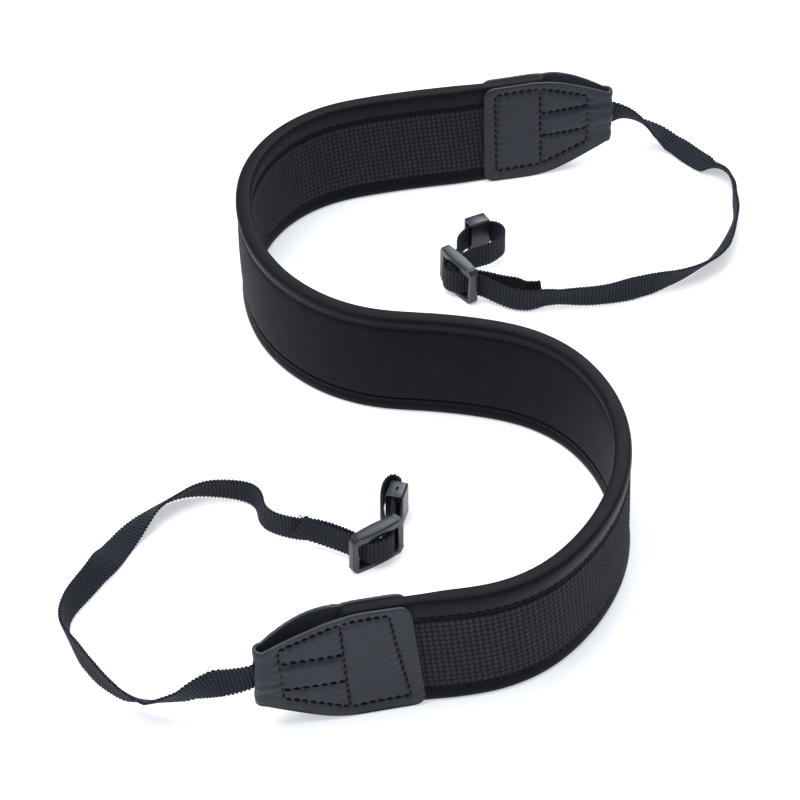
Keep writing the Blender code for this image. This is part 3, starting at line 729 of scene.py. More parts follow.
@dataclass
class NeckBand:
    """The padded band: its core, woven strip, bindings and their stitches."""

    length: float = 505.1 * MM
    height: float = 43.0 * MM
    lean: float = 1.4 * MM
    taper: float = 28.3 * MM
    lap: float = 24.5 * MM
    start_heading: float = 14.2
    smoothing: float = 28.0 * MM
    end_share: float = 21
    turn_share: float = 22
    turns: tuple[float, ...] = (0, -6, 40, 22, 24, 28, 42, 13, -37, -30, -22, -33, -38, -7, 5, 0)
    core_half: float = 1.6 * MM
    core_half_pressed: float = 1.0 * MM
    press_run: float = 12.0 * MM
    face_rise: float = 0.9 * MM
    face_crown: float = 0.4 * MM
    binding_wall: float = 0.8 * MM
    rim_swell: float = 0.4 * MM
    plain_leg: float = 5.2 * MM
    weave_low: float = 6.3 * MM
    weave_height: float = 27.9 * MM
    weave_thickness: float = 0.9 * MM
    weave_relief: float = 0.3 * MM
    samples_per_cell: int = 4
    station_step: float = 1.5 * MM
    stitch_pitch: float = 3.0 * MM
    stitch_length: float = 1.9 * MM
    stitch_radius: float = 0.22 * MM
    woven_stitch_depth: float = 0.36 * MM
    plain_stitch_depth: float = 0.52 * MM
    seam_inset: float = 1.2 * MM
    plain_seam: float = 4.2 * MM
    weave: WovenFinish = field(default_factory=WovenFinish)

    def __post_init__(self) -> None:
        """Lay out the band's plan line, with the middle of its foot at the origin."""
        self.full = self.length + 2 * self.taper
        shares = [self.turn_share] * len(self.turns)
        shares[0] = shares[-1] = self.end_share
        self.route = Route(
            (0.0, 0.0), self.start_heading, self.full, shares, self.turns, self.smoothing
        )
        middle, heading = self.route.at(self.full / 2)
        self.route.move(-middle + right_of(heading) * self.lean_at(0.0))
        self.skin = max(self.weave_thickness, self.binding_wall)

    def lean_at(self, height: Any) -> Any:
        """Return how far the band leans to the left at a height."""
        return self.lean * (height / self.height - 0.5)

    def half_at(self, s: np.ndarray) -> np.ndarray:
        """Return half of the core's thickness, less where a tab presses it."""
        from_end = np.minimum(s, self.full - s) - self.taper - self.lap
        spring = self.core_half - self.core_half_pressed
        return self.core_half_pressed + spring * ease(from_end / self.press_run)

    def spots(self, s: Any, across: Any, height: Any) -> np.ndarray:
        """Return places beside the band's middle plane.

        Args:
            s: Distances along the band.
            across: Distances to the right of the middle plane.
            height: Heights above the floor.

        Returns:
            One row of x, y and z for each place.
        """
        s, across, height = np.broadcast_arrays(s, across, height)
        x, y, angle = self.route.many(s)
        out = across - self.lean_at(height)
        return np.stack([x + np.sin(angle) * out, y - np.cos(angle) * out, height], axis=1)

    def sweep(self, outline: np.ndarray, reach: float) -> bmesh.types.BMesh:
        """Run a closed outline along the band.

        Args:
            outline: Pairs of across and height for the core's free thickness.
            reach: The outline's outer half thickness, which shrinks with the core.

        Returns:
            The closed bmesh.
        """
        columns = round(self.length / self.station_step)
        grid = BentGrid(columns, len(outline) - 1)
        s = self.taper + self.length * grid.i / columns
        across, height = outline[grid.j].T
        thinner = self.core_half - self.half_at(s)
        grid.bend(self.spots(s, across * (1 - thinner / reach), height))
        grid.lay_threads(s, lengths_along(outline)[grid.j])
        return grid.close()

    def pad_outline(self) -> np.ndarray:
        """Return the core's section: flat behind the weave, crowned between the bindings."""
        half, top = self.core_half, self.height
        low = self.binding_wall + GAP
        step = self.plain_leg + GAP
        face = half + self.face_rise
        outline = [
            (half - 0.6 * MM, low), (half, low + 0.7 * MM), (half, top / 2),
            (half, top - low - 0.7 * MM), (half - 0.6 * MM, top - low),
            (0.6 * MM - half, top - low), (-half, top - low - 0.7 * MM),
            (-half, top - step + 0.5 * MM), (-half - 0.1 * MM, top - step),
            (-face + 0.2 * MM, top - step - 1.0 * MM),
            (-face - 0.1 * MM, top - step - 4.0 * MM), (-face - self.face_crown, top / 2 + 5 * MM),
            (-face - self.face_crown, top / 2 - 5 * MM), (-face - 0.1 * MM, step + 4.0 * MM),
            (-face + 0.2 * MM, step + 1.0 * MM), (-half - 0.1 * MM, step),
            (-half, step - 0.5 * MM), (-half, low + 0.7 * MM), (0.6 * MM - half, low),
        ]
        return softened(outline)

    def woven_leg(self, top: bool) -> float:
        """Return the height of a binding's leg on the woven face."""
        low = self.height - self.weave_low - self.weave_height if top else self.weave_low
        return low - GAP

    def binding_outline(self, top: bool) -> np.ndarray:
        """Return a binding's section, foot down: a rolled rim and two legs with pinched seams."""
        inner = self.core_half + GAP
        outer = inner + self.binding_wall
        woven_leg = leg = self.woven_leg(top)
        seam = leg - self.seam_inset
        rim = [
            (outer - 0.3 * MM, leg), (outer - 0.1 * MM, leg - 0.5 * MM),
            (outer - 0.45 * MM, seam + 0.35 * MM), (outer - 0.45 * MM, seam - 0.35 * MM),
            (outer - 0.15 * MM, seam - 0.9 * MM), (outer + 0.25 * MM, seam * 0.6),
            (outer + self.rim_swell, seam * 0.45), (outer + self.rim_swell, 1.6 * MM),
            (outer - 0.1 * MM, 0.5 * MM), (outer - 1.0 * MM, 0.0),
        ]
        seam, leg = self.plain_seam, self.plain_leg
        plain = [
            (-outer + 1.0 * MM, 0.0), (-outer + 0.1 * MM, 0.5 * MM), (-outer - 0.2 * MM, 1.6 * MM),
            (-outer - 0.1 * MM, 2.9 * MM), (-outer + 0.4 * MM, seam - 0.3 * MM),
            (-outer + 0.45 * MM, seam + 0.3 * MM), (-outer + 0.4 * MM, leg - 0.35 * MM),
            (-outer + 0.55 * MM, leg),
        ]
        wall = self.binding_wall
        inside = [
            (-inner, leg), (-inner, wall + 0.5 * MM), (0.5 * MM - inner, wall),
            (inner - 0.5 * MM, wall), (inner, wall + 0.5 * MM), (inner, woven_leg),
        ]
        return softened(rim + plain + inside)

    def weave_strip(self) -> bmesh.types.BMesh:
        """Return the woven strip, with each raised cell of its weave as a shape."""
        pattern = self.weave
        columns = round(self.length / (pattern.pitch_along * MM) * self.samples_per_cell)
        cells = round(self.weave_height / (pattern.pitch_across * MM) * self.samples_per_cell)
        low, thickness = self.weave_low, self.weave_thickness
        face = low + self.weave_height * np.linspace(0, 1, cells + 1)
        heights = np.concatenate([face, [low + self.weave_height, low, low]])
        depth = np.concatenate([np.full(cells + 1, thickness), [0.0, 0.0, thickness]])
        grid = BentGrid(columns, len(heights) - 1)
        s = self.taper + self.length * grid.i / columns
        height = heights[grid.j]
        crown = pattern.relief(s / MM, (height - low) / MM)
        outward = depth[grid.j]
        outward = np.where(outward > 0, outward - self.weave_relief * (1 - crown), outward)
        grid.bend(self.spots(s, self.half_at(s) + GAP + outward, height))
        grid.lay_threads(s, height - low)
        return grid.close()

    def seam_stitches(self, top: bool) -> bmesh.types.BMesh:
        """Return the stitches of one binding, on both faces of the band."""
        bm = bmesh.new()
        outer = self.core_half + GAP + self.binding_wall
        count = round((self.length - 2 * self.lap) / self.stitch_pitch)
        middles = self.taper + self.lap + (np.arange(count) + 0.5) * self.stitch_pitch
        seams = (
            (Side.WOVEN, self.woven_leg(top) - self.seam_inset, self.woven_stitch_depth),
            (Side.PLAIN, self.plain_seam, self.plain_stitch_depth),
        )
        for side, seam, depth in seams:
            height = self.height - seam if top else seam
            thinner = 1 - (self.core_half - self.half_at(middles)) / (outer + self.rim_swell)
            across = side.value * (outer - depth) * thinner
            starts = self.spots(middles - self.stitch_length / 2, across, height)
            ends = self.spots(middles + self.stitch_length / 2, across, height)
            for start, end in zip(starts, ends):
                sew(bm, Vector(start), Vector(end), self.stitch_radius)
        return bm

    def build(self) -> None:
        """Add the band's pieces."""
        outer = self.core_half + GAP + self.binding_wall + self.rim_swell
        core = self.sweep(self.pad_outline(), self.core_half + self.face_rise + self.face_crown)
        pad = add_piece("neck_pad", core, JerseyFinish().build(), Slot.NEOPRENE, ["neoprene_pad"])
        add_piece("weave", self.weave_strip(), self.weave.build(), Slot.WEAVE, ["woven_strip"])
        binding = BindingFinish().build()
        thread = BINDING_THREAD.build()
        below = self.sweep(self.binding_outline(False), outer)
        add_piece("lower_binding", below, binding, Slot.BINDING, ["binding_lower"])
        outline = self.binding_outline(True)
        outline[:, 1] = self.height - outline[:, 1]
        above = self.sweep(outline, outer)
        add_piece("upper_binding", above, binding, Slot.BINDING, ["binding_upper"])
        add_piece("lower_binding_stitches", self.seam_stitches(False), thread, Slot.BINDING)
        add_piece("upper_binding_stitches", self.seam_stitches(True), thread, Slot.BINDING)


class Seam(NamedTuple):
    """A straight row of stitches: distances from the band-side edge, heights off the middle."""

    start: tuple[float, float]
    end: tuple[float, float]


@dataclass
class EndTab:
    """A leather tab, folded round the band's end and sewn through.

    Its corners are distances from the band-side edge and heights off the middle line, in
    millimetres: four round the rectangle from its top left, then the frame's two tips.
    The channel is given by its lower and upper heights in millimetres.
    """

    band: NeckBand
    end: End
    slant: float
    corners: tuple[tuple[float, float], ...]
    channel: tuple[float, float]
    wall: float = 1.2 * MM
    edge_height: float = 42.4 * MM
    fold_height: float = 20.0 * MM
    corner_radius: float = 4.0 * MM
    fold_half: float = 1.7 * MM
    taper_bow: float = 0.6 * MM
    shoulder: float = 7.0 * MM
    back_swell: float = 2.6 * MM
    step: float = 0.7 * MM
    rows: int = 50
    fold_steps: int = 12
    slot_steps: tuple[int, int] = (4, 8)
    slot_rows: tuple[int, int] = (11, 39)
    groove: float = 0.55 * MM
    pucker: float = 0.22 * MM
    channel_rise: float = 0.55 * MM
    stitch_pitch: float = 2.8 * MM
    stitch_length: float = 2.55 * MM
    stitch_radius: float = 0.38 * MM
    stitch_slant: float = 9.0
    stitch_sink: float = 0.7
    groove_width: float = 1.0 * MM
    pucker_width: float = 2.4 * MM
    channel_shoulder: float = 2.5 * MM
    channel_lead: float = 2.0 * MM
    channel_run: float = 5.0 * MM
    crease_pitch: float = 4.6 * MM
    crease_shift: float = 0.8
    crease_reach: float = 5.0 * MM

    @property
    def length(self) -> float:
        """Return the length of one panel, from its band-side edge to the band's end."""
        return self.band.lap + self.band.taper

    @property
    def middle(self) -> float:
        """Return the height of the tab's middle line."""
        return self.band.height / 2

    def half_height(self, x: np.ndarray) -> np.ndarray:
        """Return half of the tab's height at distances x from its band-side edge."""
        run = np.clip(self.corner_radius - x, 0.0, None)
        rise = np.sqrt(np.clip(self.corner_radius ** 2 - run ** 2, 0.0, None))
        lap = self.edge_height / 2 - self.corner_radius + rise
        lap = lap + (self.band.height - self.edge_height) / 2 * x / self.band.lap
        share = np.clip((x - self.band.lap) / self.band.taper, 0.0, 1.0)
        taper = (self.band.height + (self.fold_height - self.band.height) * share) / 2
        taper = taper + self.taper_bow * np.sin(math.pi * share)
        half = np.where(x < self.band.lap, lap, taper)
        rounding = np.clip(1 - np.abs(x - self.band.lap) / self.shoulder, 0.0, 1.0) ** 2
        drop = (self.band.height - self.fold_height) / 2 / self.band.taper * self.shoulder / 4
        return half - drop * rounding

    def stand_off(self, x: np.ndarray, side: np.ndarray) -> np.ndarray:
        """Return how far a panel's inner face stands from the middle plane."""
        s = self.length - x
        lap = self.band.half_at(s) + self.band.skin + 2 * GAP
        fold = self.fold_half + self.wall
        share = np.clip((s - fold) / (self.band.taper - fold), 0.0, 1.0)
        swell = np.where(side < 0, self.back_swell * np.sin(math.pi * share), 0.0)
        rise = self.fold_half + (lap - self.fold_half) * ease(share) + swell
        return np.where(s >= self.band.taper, lap, rise)

    def spots(self, x: Any, turn: Any, depth: Any, height: Any) -> np.ndarray:
        """Return places on the tab.

        Args:
            x: Distances from the band-side edge.
            turn: Angles round the fold, 0 on the right panel and pi on the left one.
            depth: Distances out from the middle plane, or from the fold's axis.
            height: Heights off the tab's middle line.

        Returns:
            One row of x, y and z for each place.
        """
        x, turn, depth, height = np.broadcast_arrays(x, turn, depth, height)
        fade = np.clip(1 - x / self.band.lap, 0.0, 1.0)
        run = x + depth * np.sin(turn) + self.slant * height / (self.edge_height / 2) * fade
        s = self.length - run
        if self.end is End.FAR:
            s = self.band.full - s
        return self.band.spots(s, depth * np.cos(turn), self.middle + height)

    def seams(self) -> list[Seam]:
        """Return the rows of stitches: a rectangle, a tapered frame and the channel's two lines."""
        top_left, top_right, low_right, low_left, tip_top, tip_low = (
            (x * MM, h * MM) for x, h in self.corners
        )
        rows = [
            Seam(top_left, top_right), Seam(top_right, low_right),
            Seam(low_right, low_left), Seam(low_left, top_left),
            Seam(top_right, tip_top), Seam(tip_top, tip_low), Seam(tip_low, low_right),
        ]
        for h in self.channel:
            share = (top_right[1] - h * MM) / (top_right[1] - low_right[1])
            start = top_right[0] + (low_right[0] - top_right[0]) * share
            share = (tip_top[1] - h * MM) / (tip_top[1] - tip_low[1])
            stop = tip_top[0] + (tip_low[0] - tip_top[0]) * share
            rows.append(Seam((start, h * MM), (stop, h * MM)))
        return rows

    def stitches_on(self, length: float) -> int:
        """Return how many stitches a seam of a length has."""
        return max(1, round(length / self.stitch_pitch))

    def relief(self, x: np.ndarray, height: np.ndarray) -> np.ndarray:
        """Return how far the leather stands proud, from its seams, channel and creases."""
        pull = np.zeros_like(x)
        wave = np.zeros_like(x)
        for seam in self.seams():
            (x0, h0), (x1, h1) = seam
            run, rise = x1 - x0, h1 - h0
            length = math.hypot(run, rise)
            share = np.clip(((x - x0) * run + (height - h0) * rise) / length ** 2, 0.0, 1.0)
            away = np.hypot(x - x0 - share * run, height - h0 - share * rise)
            pull = np.maximum(pull, np.exp(-((away / self.groove_width) ** 2)))
            ripple = np.cos(share * self.stitches_on(length) * TURN)
            wave = wave + ripple * np.exp(-((away / self.pucker_width) ** 2))
        low, high = (h * MM for h in self.channel)
        shoulder = self.channel_shoulder
        inside = ease((height - low) / shoulder) * ease((high - height) / shoulder)
        along = ease((x - self.band.lap + self.channel_lead) / self.channel_run)
        to_fold = np.clip(self.length - x, 0.0, None)
        crease = np.sin(height * TURN / self.crease_pitch + self.crease_shift)
        crease = crease * np.exp(-to_fold / self.crease_reach)
        ripples = self.pucker * (wave + crease)
        return self.channel_rise * inside * along - self.groove * pull + ripples

    def shell(self) -> bmesh.types.BMesh:
        """Return the folded leather with its walls, cut edges and the slot in its fold."""
        radius = self.corner_radius
        corner = [radius * (1 - math.cos(math.pi / 2 * i / 8)) for i in range(8)]
        last = self.length - self.fold_half - self.wall
        straight = np.linspace(radius, last, round((last - radius) / self.step) + 1)
        panel = np.array(corner + list(straight))
        fold = math.pi * np.arange(1, self.fold_steps) / self.fold_steps
        xs = np.concatenate([panel, np.full(len(fold), last), panel[::-1]])
        turns = np.concatenate([np.zeros(len(panel)), fold, np.full(len(panel), math.pi)])
        face = np.linspace(-1.0, 1.0, self.rows + 1)
        shares = np.concatenate([face, [1.0, 1.0], face[::-1], [-1.0, -1.0]])
        outward = np.concatenate([np.ones(len(face)), [0.8, 0.2], np.zeros(len(face)), [0.2, 0.8]])
        inset = np.concatenate([[0.25], np.zeros(len(face) - 2), [0.25, 0.0, 0.0, 0.2]])
        inset = np.concatenate([inset, np.zeros(len(face) - 2), [0.2, 0.0, 0.0]]) * MM
        shares, outward, inset = (np.append(row, row[0]) for row in (shares, outward, inset))
        grid = BentGrid(len(xs) - 1, len(shares) - 1)
        x, turn = xs[grid.i], turns[grid.i]
        half = self.half_height(x)
        height = shares[grid.j] * (half - inset[grid.j])
        side = np.where(turn > math.pi / 2, -1.0, 1.0)
        proud = self.relief(x, height)
        depth = self.stand_off(x, side) + (self.wall + proud) * outward[grid.j]
        grid.bend(self.spots(x, turn, depth, height))
        grid.lay_threads(x, height)
        edge = (np.abs(outward[grid.j] - 0.5) < 0.4).astype(float)
        edge = np.maximum(edge, ((grid.i == 0) | (grid.i == grid.columns)).astype(float))
        grid.mark(CUT_EDGE, edge)
        # The inner faces, which the leather paints lighter: paler flesh side plus painted light.
        grid.mark(INSIDE, (outward[grid.j] < 0.1).astype(float))
        self.open_slot(grid, len(panel))
        return grid.close()

    def open_slot(self, grid: BentGrid, panel: int) -> None:
        """Cut the slot through the fold and line it."""
        columns = [panel - 1 + step for step in self.slot_steps]
        low, high = self.slot_rows
        back = self.rows + 3
        holes = []
        for first, last in ((low, high), (back + self.rows - high, back + self.rows - low)):
            inside = {
                (i, j) for i in range(columns[0], columns[1] + 1) for j in range(first, last + 1)
            }
            faces = [
                face for face in grid.bm.faces
                if all((int(grid.i[v.index]), int(grid.j[v.index])) in inside for v in face.verts)
            ]
            holes.append(faces)
        cut = [face for faces in holes for face in faces]
        edges = {edge for face in cut for edge in face.edges}
        rims = [edge for edge in edges if sum(face in cut for face in edge.link_faces) == 1]
        bmesh.ops.delete(grid.bm, geom=cut, context="FACES")
        bmesh.ops.bridge_loops(grid.bm, edges=[edge for edge in rims if edge.is_valid])

    def stitches(self) -> bmesh.types.BMesh:
        """Return the tab's stitches on its two panels."""
        bm = bmesh.new()
        for seam in self.seams():
            (x0, h0), (x1, h1) = seam
            length = math.hypot(x1 - x0, h1 - h0)
            count = self.stitches_on(length)
            share = (np.arange(count) + 0.5) / count
            direction = math.atan2(h1 - h0, x1 - x0) + math.radians(self.stitch_slant)
            reach = self.stitch_length / 2
            run, rise = math.cos(direction) * reach, math.sin(direction) * reach
            x, h = x0 + (x1 - x0) * share, h0 + (h1 - h0) * share
            for side, turn in ((1.0, 0.0), (-1.0, math.pi)):
                ends = []
                for sign in (-1, 1):
                    px, ph = x + sign * run, h + sign * rise
                    depth = self.stand_off(px, np.full_like(px, side)) + self.wall
                    depth = depth - self.groove + self.stitch_radius * self.stitch_sink
                    ends.append(self.spots(px, turn, depth, ph))
                for start, stop in zip(*ends):
                    sew(bm, Vector(start), Vector(stop), self.stitch_radius)
        return bm

    def build(self, leather: bpy.types.Material, thread: bpy.types.Material) -> None:
        """Add the tab and its stitches."""
        name = self.end.value
        covered = ["end_tab_" + name]
        add_piece("leather_tab_" + name, self.shell(), leather, Slot.LEATHER, covered, crease=50.0)
        add_piece("tab_stitches_" + name, self.stitches(), thread, Slot.LEATHER)


class Reach(NamedTuple):
    """One stretch of free webbing: its turn, and its tilt and lift at the stretch's end."""

    turn: float
    tilt: float
    lift: float


class LoopPoint(NamedTuple):
    """A point of the lug loop, in shares of the loop's reach from the slider."""

    along: float
    behind: float


class TailPoint(NamedTuple):
    """How far the tail stands off its strap: shares of its length and of the webbing's width."""

    share: float
    stand_off: float
    lift: float


@dataclass(frozen=True)
class StrapEnd:
    """Everything that differs between the two webbing straps."""

    end: End
    free_length: float
    reaches: tuple[Reach, ...]
    slider_turn: float
    front: float
    bulge: float
    loop_reach: float
    loop: tuple[LoopPoint, ...]
    keeper_row: int
    keeper_slot: bool
    tail_length: float
    tail: tuple[TailPoint, ...]
    frayed: bool


NEAR_STRAP = StrapEnd(
    end=End.NEAR,
    free_length=238.4 * MM,
    reaches=(
        Reach(-22, -16, 0.85),
        Reach(11, 26, 0.48),
        Reach(-23, 53, 0.28),
        Reach(-21, 19, 0.12),
        Reach(-12, 4, 0.11),
        Reach(-7, 2, 0.1),
        Reach(-6, 16, 0.06),
        Reach(-37, 15, 0.04),
        Reach(-15, 28, 0),
        Reach(4, 37, 0),
        Reach(6, 81, 0),
        Reach(-17, 98, 0),
        Reach(-6, 132, 0),
        Reach(-19, 142, 0),
        Reach(-29, 166, 0),
        Reach(-15, 176, 0),
        Reach(-79, 189, 0.04),
        Reach(61, 180, 0.11),
        Reach(21, 182, 0.16),
        Reach(-17, 183, 0.14),
        Reach(-7, 180, 0.14),
    ),
    slider_turn=71,
    front=-1,
    bulge=3.2 * MM,
    loop_reach=22.0 * MM,
    loop=(
        LoopPoint(0.39, 0.36),
        LoopPoint(0.63, 0.73),
        LoopPoint(0.80, 0.91),
        LoopPoint(0.92, 0.98),
        LoopPoint(1.03, 0.99),
        LoopPoint(1.07, 0.86),
        LoopPoint(0.97, 0.72),
        LoopPoint(0.83, 0.60),
        LoopPoint(0.69, 0.49),
        LoopPoint(0.46, 0.26),
    ),
    keeper_row=7,
    keeper_slot=True,
    tail_length=24.6 * MM,
    tail=(
        TailPoint(0, 0, 0),
        TailPoint(0.6, 0.01, 0.02),
        TailPoint(0.85, 0.04, 0.12),
        TailPoint(1, 0.1, 0.36),
    ),
    frayed=True,
)

FAR_STRAP = StrapEnd(
    end=End.FAR,
    free_length=219.7 * MM,
    reaches=(
        Reach(30, -55, 0.79),
        Reach(-33, -89, 0.49),
        Reach(-50, -95, 0.09),
        Reach(-16, -99, 0.01),
        Reach(12, -98, 0),
        Reach(-9, -45, 0),
        Reach(-38, -23, 0),
        Reach(-3, -2, 0),
        Reach(3, 2, 0),
        Reach(-19, 13, 0),
        Reach(1, 26, 0),
        Reach(-9, 39, 0),
        Reach(-20, 41, 0),
        Reach(-4, 34, 0),
        Reach(-14, 21, 0),
        Reach(-4, 0, 0),
        Reach(0, -9, 0),
        Reach(-7, 4, 0),
        Reach(-13, 8, 0),
        Reach(-2, 19, 0),
        Reach(20, 7, 0),
        Reach(-50, 0, 0.03),
        Reach(-2, 0, 0.08),
        Reach(27, 0, 0.1),
    ),
    slider_turn=-51.5,
    front=1,
    bulge=4.2 * MM,
    loop_reach=28.0 * MM,
    loop=(
        LoopPoint(0.33, 0.21),
        LoopPoint(0.54, 0.37),
        LoopPoint(0.64, 0.56),
        LoopPoint(0.66, 0.76),
        LoopPoint(0.60, 0.93),
        LoopPoint(0.50, 1.0),
        LoopPoint(0.39, 1.0),
        LoopPoint(0.30, 0.95),
        LoopPoint(0.24, 0.86),
        LoopPoint(0.19, 0.64),
        LoopPoint(0.22, 0.40),
        LoopPoint(0.21, 0.22),
    ),
    keeper_row=3,
    keeper_slot=False,
    tail_length=31.0 * MM,
    tail=(
        TailPoint(0, 0, 0),
        TailPoint(0.2, 0.12, 0),
        TailPoint(0.4, 0.32, 0),
        TailPoint(0.6, 0.55, 0),
        TailPoint(0.8, 0.42, 0),
        TailPoint(1, 0.22, 0.1),
    ),
    frayed=False,
)


def hermite(start: Vector, out: Vector, end: Vector, into: Vector, steps: int) -> list[Vector]:
    """Return points from start to just before end on a cubic.

    Args:
        start: The first point.
        out: The tangent there.
        end: The last point, which isn't returned.
        into: The tangent there.
        steps: How many points there are.

    Returns:
        The points.
    """
    points = []
    for i in range(steps):
        t = i / steps
        low = (1 - t) ** 2
        high = t * t
        first, last = start * low * (1 + 2 * t), end * high * (3 - 2 * t)
        points.append(first + out * t * low + last + into * high * (t - 1))
    return points


def through(points: Sequence[Vector], step: float) -> list[Vector]:
    """Return a smooth line through points; the first and last only set the end tangents."""
    line = []
    for before, start, end, after in zip(points, points[1:], points[2:], points[3:]):
        span = (end - start).length
        first = (end - before) * (span / ((start - before).length + span))
        last = (after - start) * (span / ((after - end).length + span))
        line += hermite(start, first, end, last, max(1, round(span / step)))
    line.append(points[-2].copy())
    return line


def offset_line(line: Sequence[Vector], distances: Sequence[float]) -> list[Vector]:
    """Offset a plan line to its left by one distance for each point."""
    moved = []
    for i, point in enumerate(line):
        along = line[min(i + 1, len(line) - 1)] - line[max(i - 1, 0)]
        along.z = 0.0
        along.normalize()
        moved.append(point + Vector((-along.y, along.x, 0.0)) * distances[i])
    return moved


@dataclass
class StrapCourse:
    """Where one webbing strap runs, with the places of its slider and its keeper."""

    strap: StrapEnd
    band: NeckBand
    width: float = 10.0 * MM
    thickness: float = 1.2 * MM
    floor_gap: float = 0.2 * MM
    smoothing: float = 14.0 * MM
    step: float = 2.8 * MM
    loop_step: float = 1.6 * MM
    tail_blend: float = 6.0 * MM
    rise: float = 12.0 * MM
    slot_height: float = 7.4 * MM
    slot_in: float = 4.55 * MM
    slot_out: float = 5.65 * MM
    leave_angle: float = 72.0
    keeper_height: float = 13.4 * MM

    def __post_init__(self) -> None:
        """Lay out the strap from inside its tab to its tail."""
        layer = self.layer_step
        inside = self.lay_inside()
        self.pair, tilts = self.lay_free(inside[-1])
        self.slider_heading = self.free_heading + math.radians(self.strap.slider_turn)
        self.along = ahead_of(self.slider_heading)
        self.front = right_of(self.slider_heading) * -self.strap.front
        self.slider_centre = self.pair[-1] + self.along * self.slot_in
        crest = self.lay_crest()
        start = self.strap.free_length - self.strap.tail_length
        blend = [float(ease((s - start) / self.tail_blend)) for s in self.free_distances]
        strap = offset_line(
            self.pair + crest[1:], [layer / 2 * share for share in blend + [1.0] * (len(crest) - 1)]
        )
        back = offset_line(self.pair[-3:] + crest[1:], [-layer / 2] * (len(crest) + 2))
        loop = self.lay_loop(strap[-2:], back[-2:])
        second = list(reversed(back[3:]))
        self.points = inside[:-1] + strap + loop[1:-1] + second + self.lay_tail()
        upright = [0.0] * (len(inside) - 1)
        rest = len(self.points) - len(upright) - len(tilts)
        self.tilts = upright + tilts + [tilts[-1]] * rest

    @property
    def layer_step(self) -> float:
        """Return the distance between the middles of two layers that lie together."""
        return self.thickness + GAP

    def lay_inside(self) -> list[Vector]:
        """Return the stretch sewn between the tab's panels, from the band's end to the fold."""
        steps = max(2, round(self.band.taper / (2 * self.step)))
        points = []
        for i in range(steps + 1):
            s = (self.band.taper - GAP) * (1 - i / steps)
            point, _ = self.band.route.at(s if self.strap.end is End.NEAR else self.band.full - s)
            points.append(point + Vector((0.0, 0.0, self.band.height / 2)))
        return points

    def lay_free(self, start: Vector) -> tuple[list[Vector], list[float]]:
        """Return the stretch from the fold to the slider's first slot, with its tilts."""
        strap = self.strap
        rows = strap.reaches
        near = strap.end is End.NEAR
        _, heading = self.band.route.at(0.0 if near else self.band.full)
        heading += math.pi if near else 0.0
        turns = [row.turn for row in rows]
        shares = [1.0] * len(rows)
        plan = Route(
            start, math.degrees(heading), strap.free_length, shares, turns, self.smoothing
        )
        knots = np.linspace(0.0, strap.free_length, len(rows) + 1)
        tilt_rows = [0.0] + [row.tilt for row in rows]
        lift_rows = [1.0] + [row.lift for row in rows]
        slot_lift = self.band.height / 2 - self.width / 2 - self.floor_gap
        steps = round(strap.free_length / self.step)
        points, tilts = [], []
        self.free_distances = [strap.free_length * i / steps for i in range(steps + 1)]
        for s in self.free_distances:
            point, self.free_heading = plan.at(s)
            tilt = math.radians(float(np.interp(s, knots, tilt_rows)))
            stand = self.width / 2 * abs(math.cos(tilt)) + self.thickness / 2 * abs(math.sin(tilt))
            point.z = self.floor_gap + stand + slot_lift * float(np.interp(s, knots, lift_rows))
            rise = float(ease((s - strap.free_length + self.rise) / self.rise))
            point.z += (self.slot_height - point.z) * rise
            points.append(point)
            tilts.append(tilt)
        return points, tilts

    def local(self, along: float, front: float, height: Optional[float] = None) -> Vector:
        """Return the place at a distance along and in front of the slider's centre."""
        point = self.slider_centre + self.along * along + self.front * front
        point.z = self.slot_height if height is None else height
        return point

    def lay_crest(self) -> list[Vector]:
        """Return the pair's middle line over the centre bar, from slot to slot."""
        entry = ahead_of(self.free_heading)
        angle = math.radians(self.leave_angle)
        leave = self.along * math.cos(angle) - self.front * math.sin(angle)
        top = self.local((self.slot_out - self.slot_in) / 2, self.strap.bulge)
        slots = (self.local(-self.slot_in, 0.0), self.local(self.slot_out, 0.0))
        span = (top - slots[0]).length * 1.2
        steps = max(4, round(span / self.loop_step) + 2)
        line = hermite(slots[0], entry * span, top, self.along * span, steps)
        line += hermite(top, self.along * span, slots[1], leave * span, steps)
        return line + [slots[1]]

    def lay_loop(self, out: Sequence[Vector], back: Sequence[Vector]) -> list[Vector]:
        """Return the lug loop, from the outgoing layer to the returning one."""
        reach = self.strap.loop_reach
        height = self.keeper_height / 2
        rows = [
            self.local(row.along * reach, -row.behind * reach, height) for row in self.strap.loop
        ]
        self.keeper_centre = rows[self.strap.keeper_row]
        toward = rows[self.strap.keeper_row + 1] - rows[self.strap.keeper_row - 1]
        self.keeper_heading = math.atan2(toward.y, toward.x)
        return through(list(out) + rows + [back[-1], back[-2]], self.loop_step)

    def lay_tail(self) -> list[Vector]:
        """Return the tail, which lies back along the strap on its right."""
        strap = self.strap
        shares = [row.share for row in strap.tail]
        stand_offs = [row.stand_off for row in strap.tail]
        lifts = [row.lift for row in strap.tail]
        axes = np.array([tuple(point) for point in self.pair]).T
        steps = round(strap.tail_length / self.step)
        line, distances = [], []
        for i in range(steps + 1):
            s = strap.free_length - strap.tail_length * i / steps
            point = Vector([float(np.interp(s, self.free_distances, row)) for row in axes])
            point.z += self.width * float(np.interp(i / steps, shares, lifts))
            stand_off = float(np.interp(i / steps, shares, stand_offs))
            line.append(point)
            distances.append(self.layer_step / 2 + self.width * stand_off)
        return offset_line(line, distances)

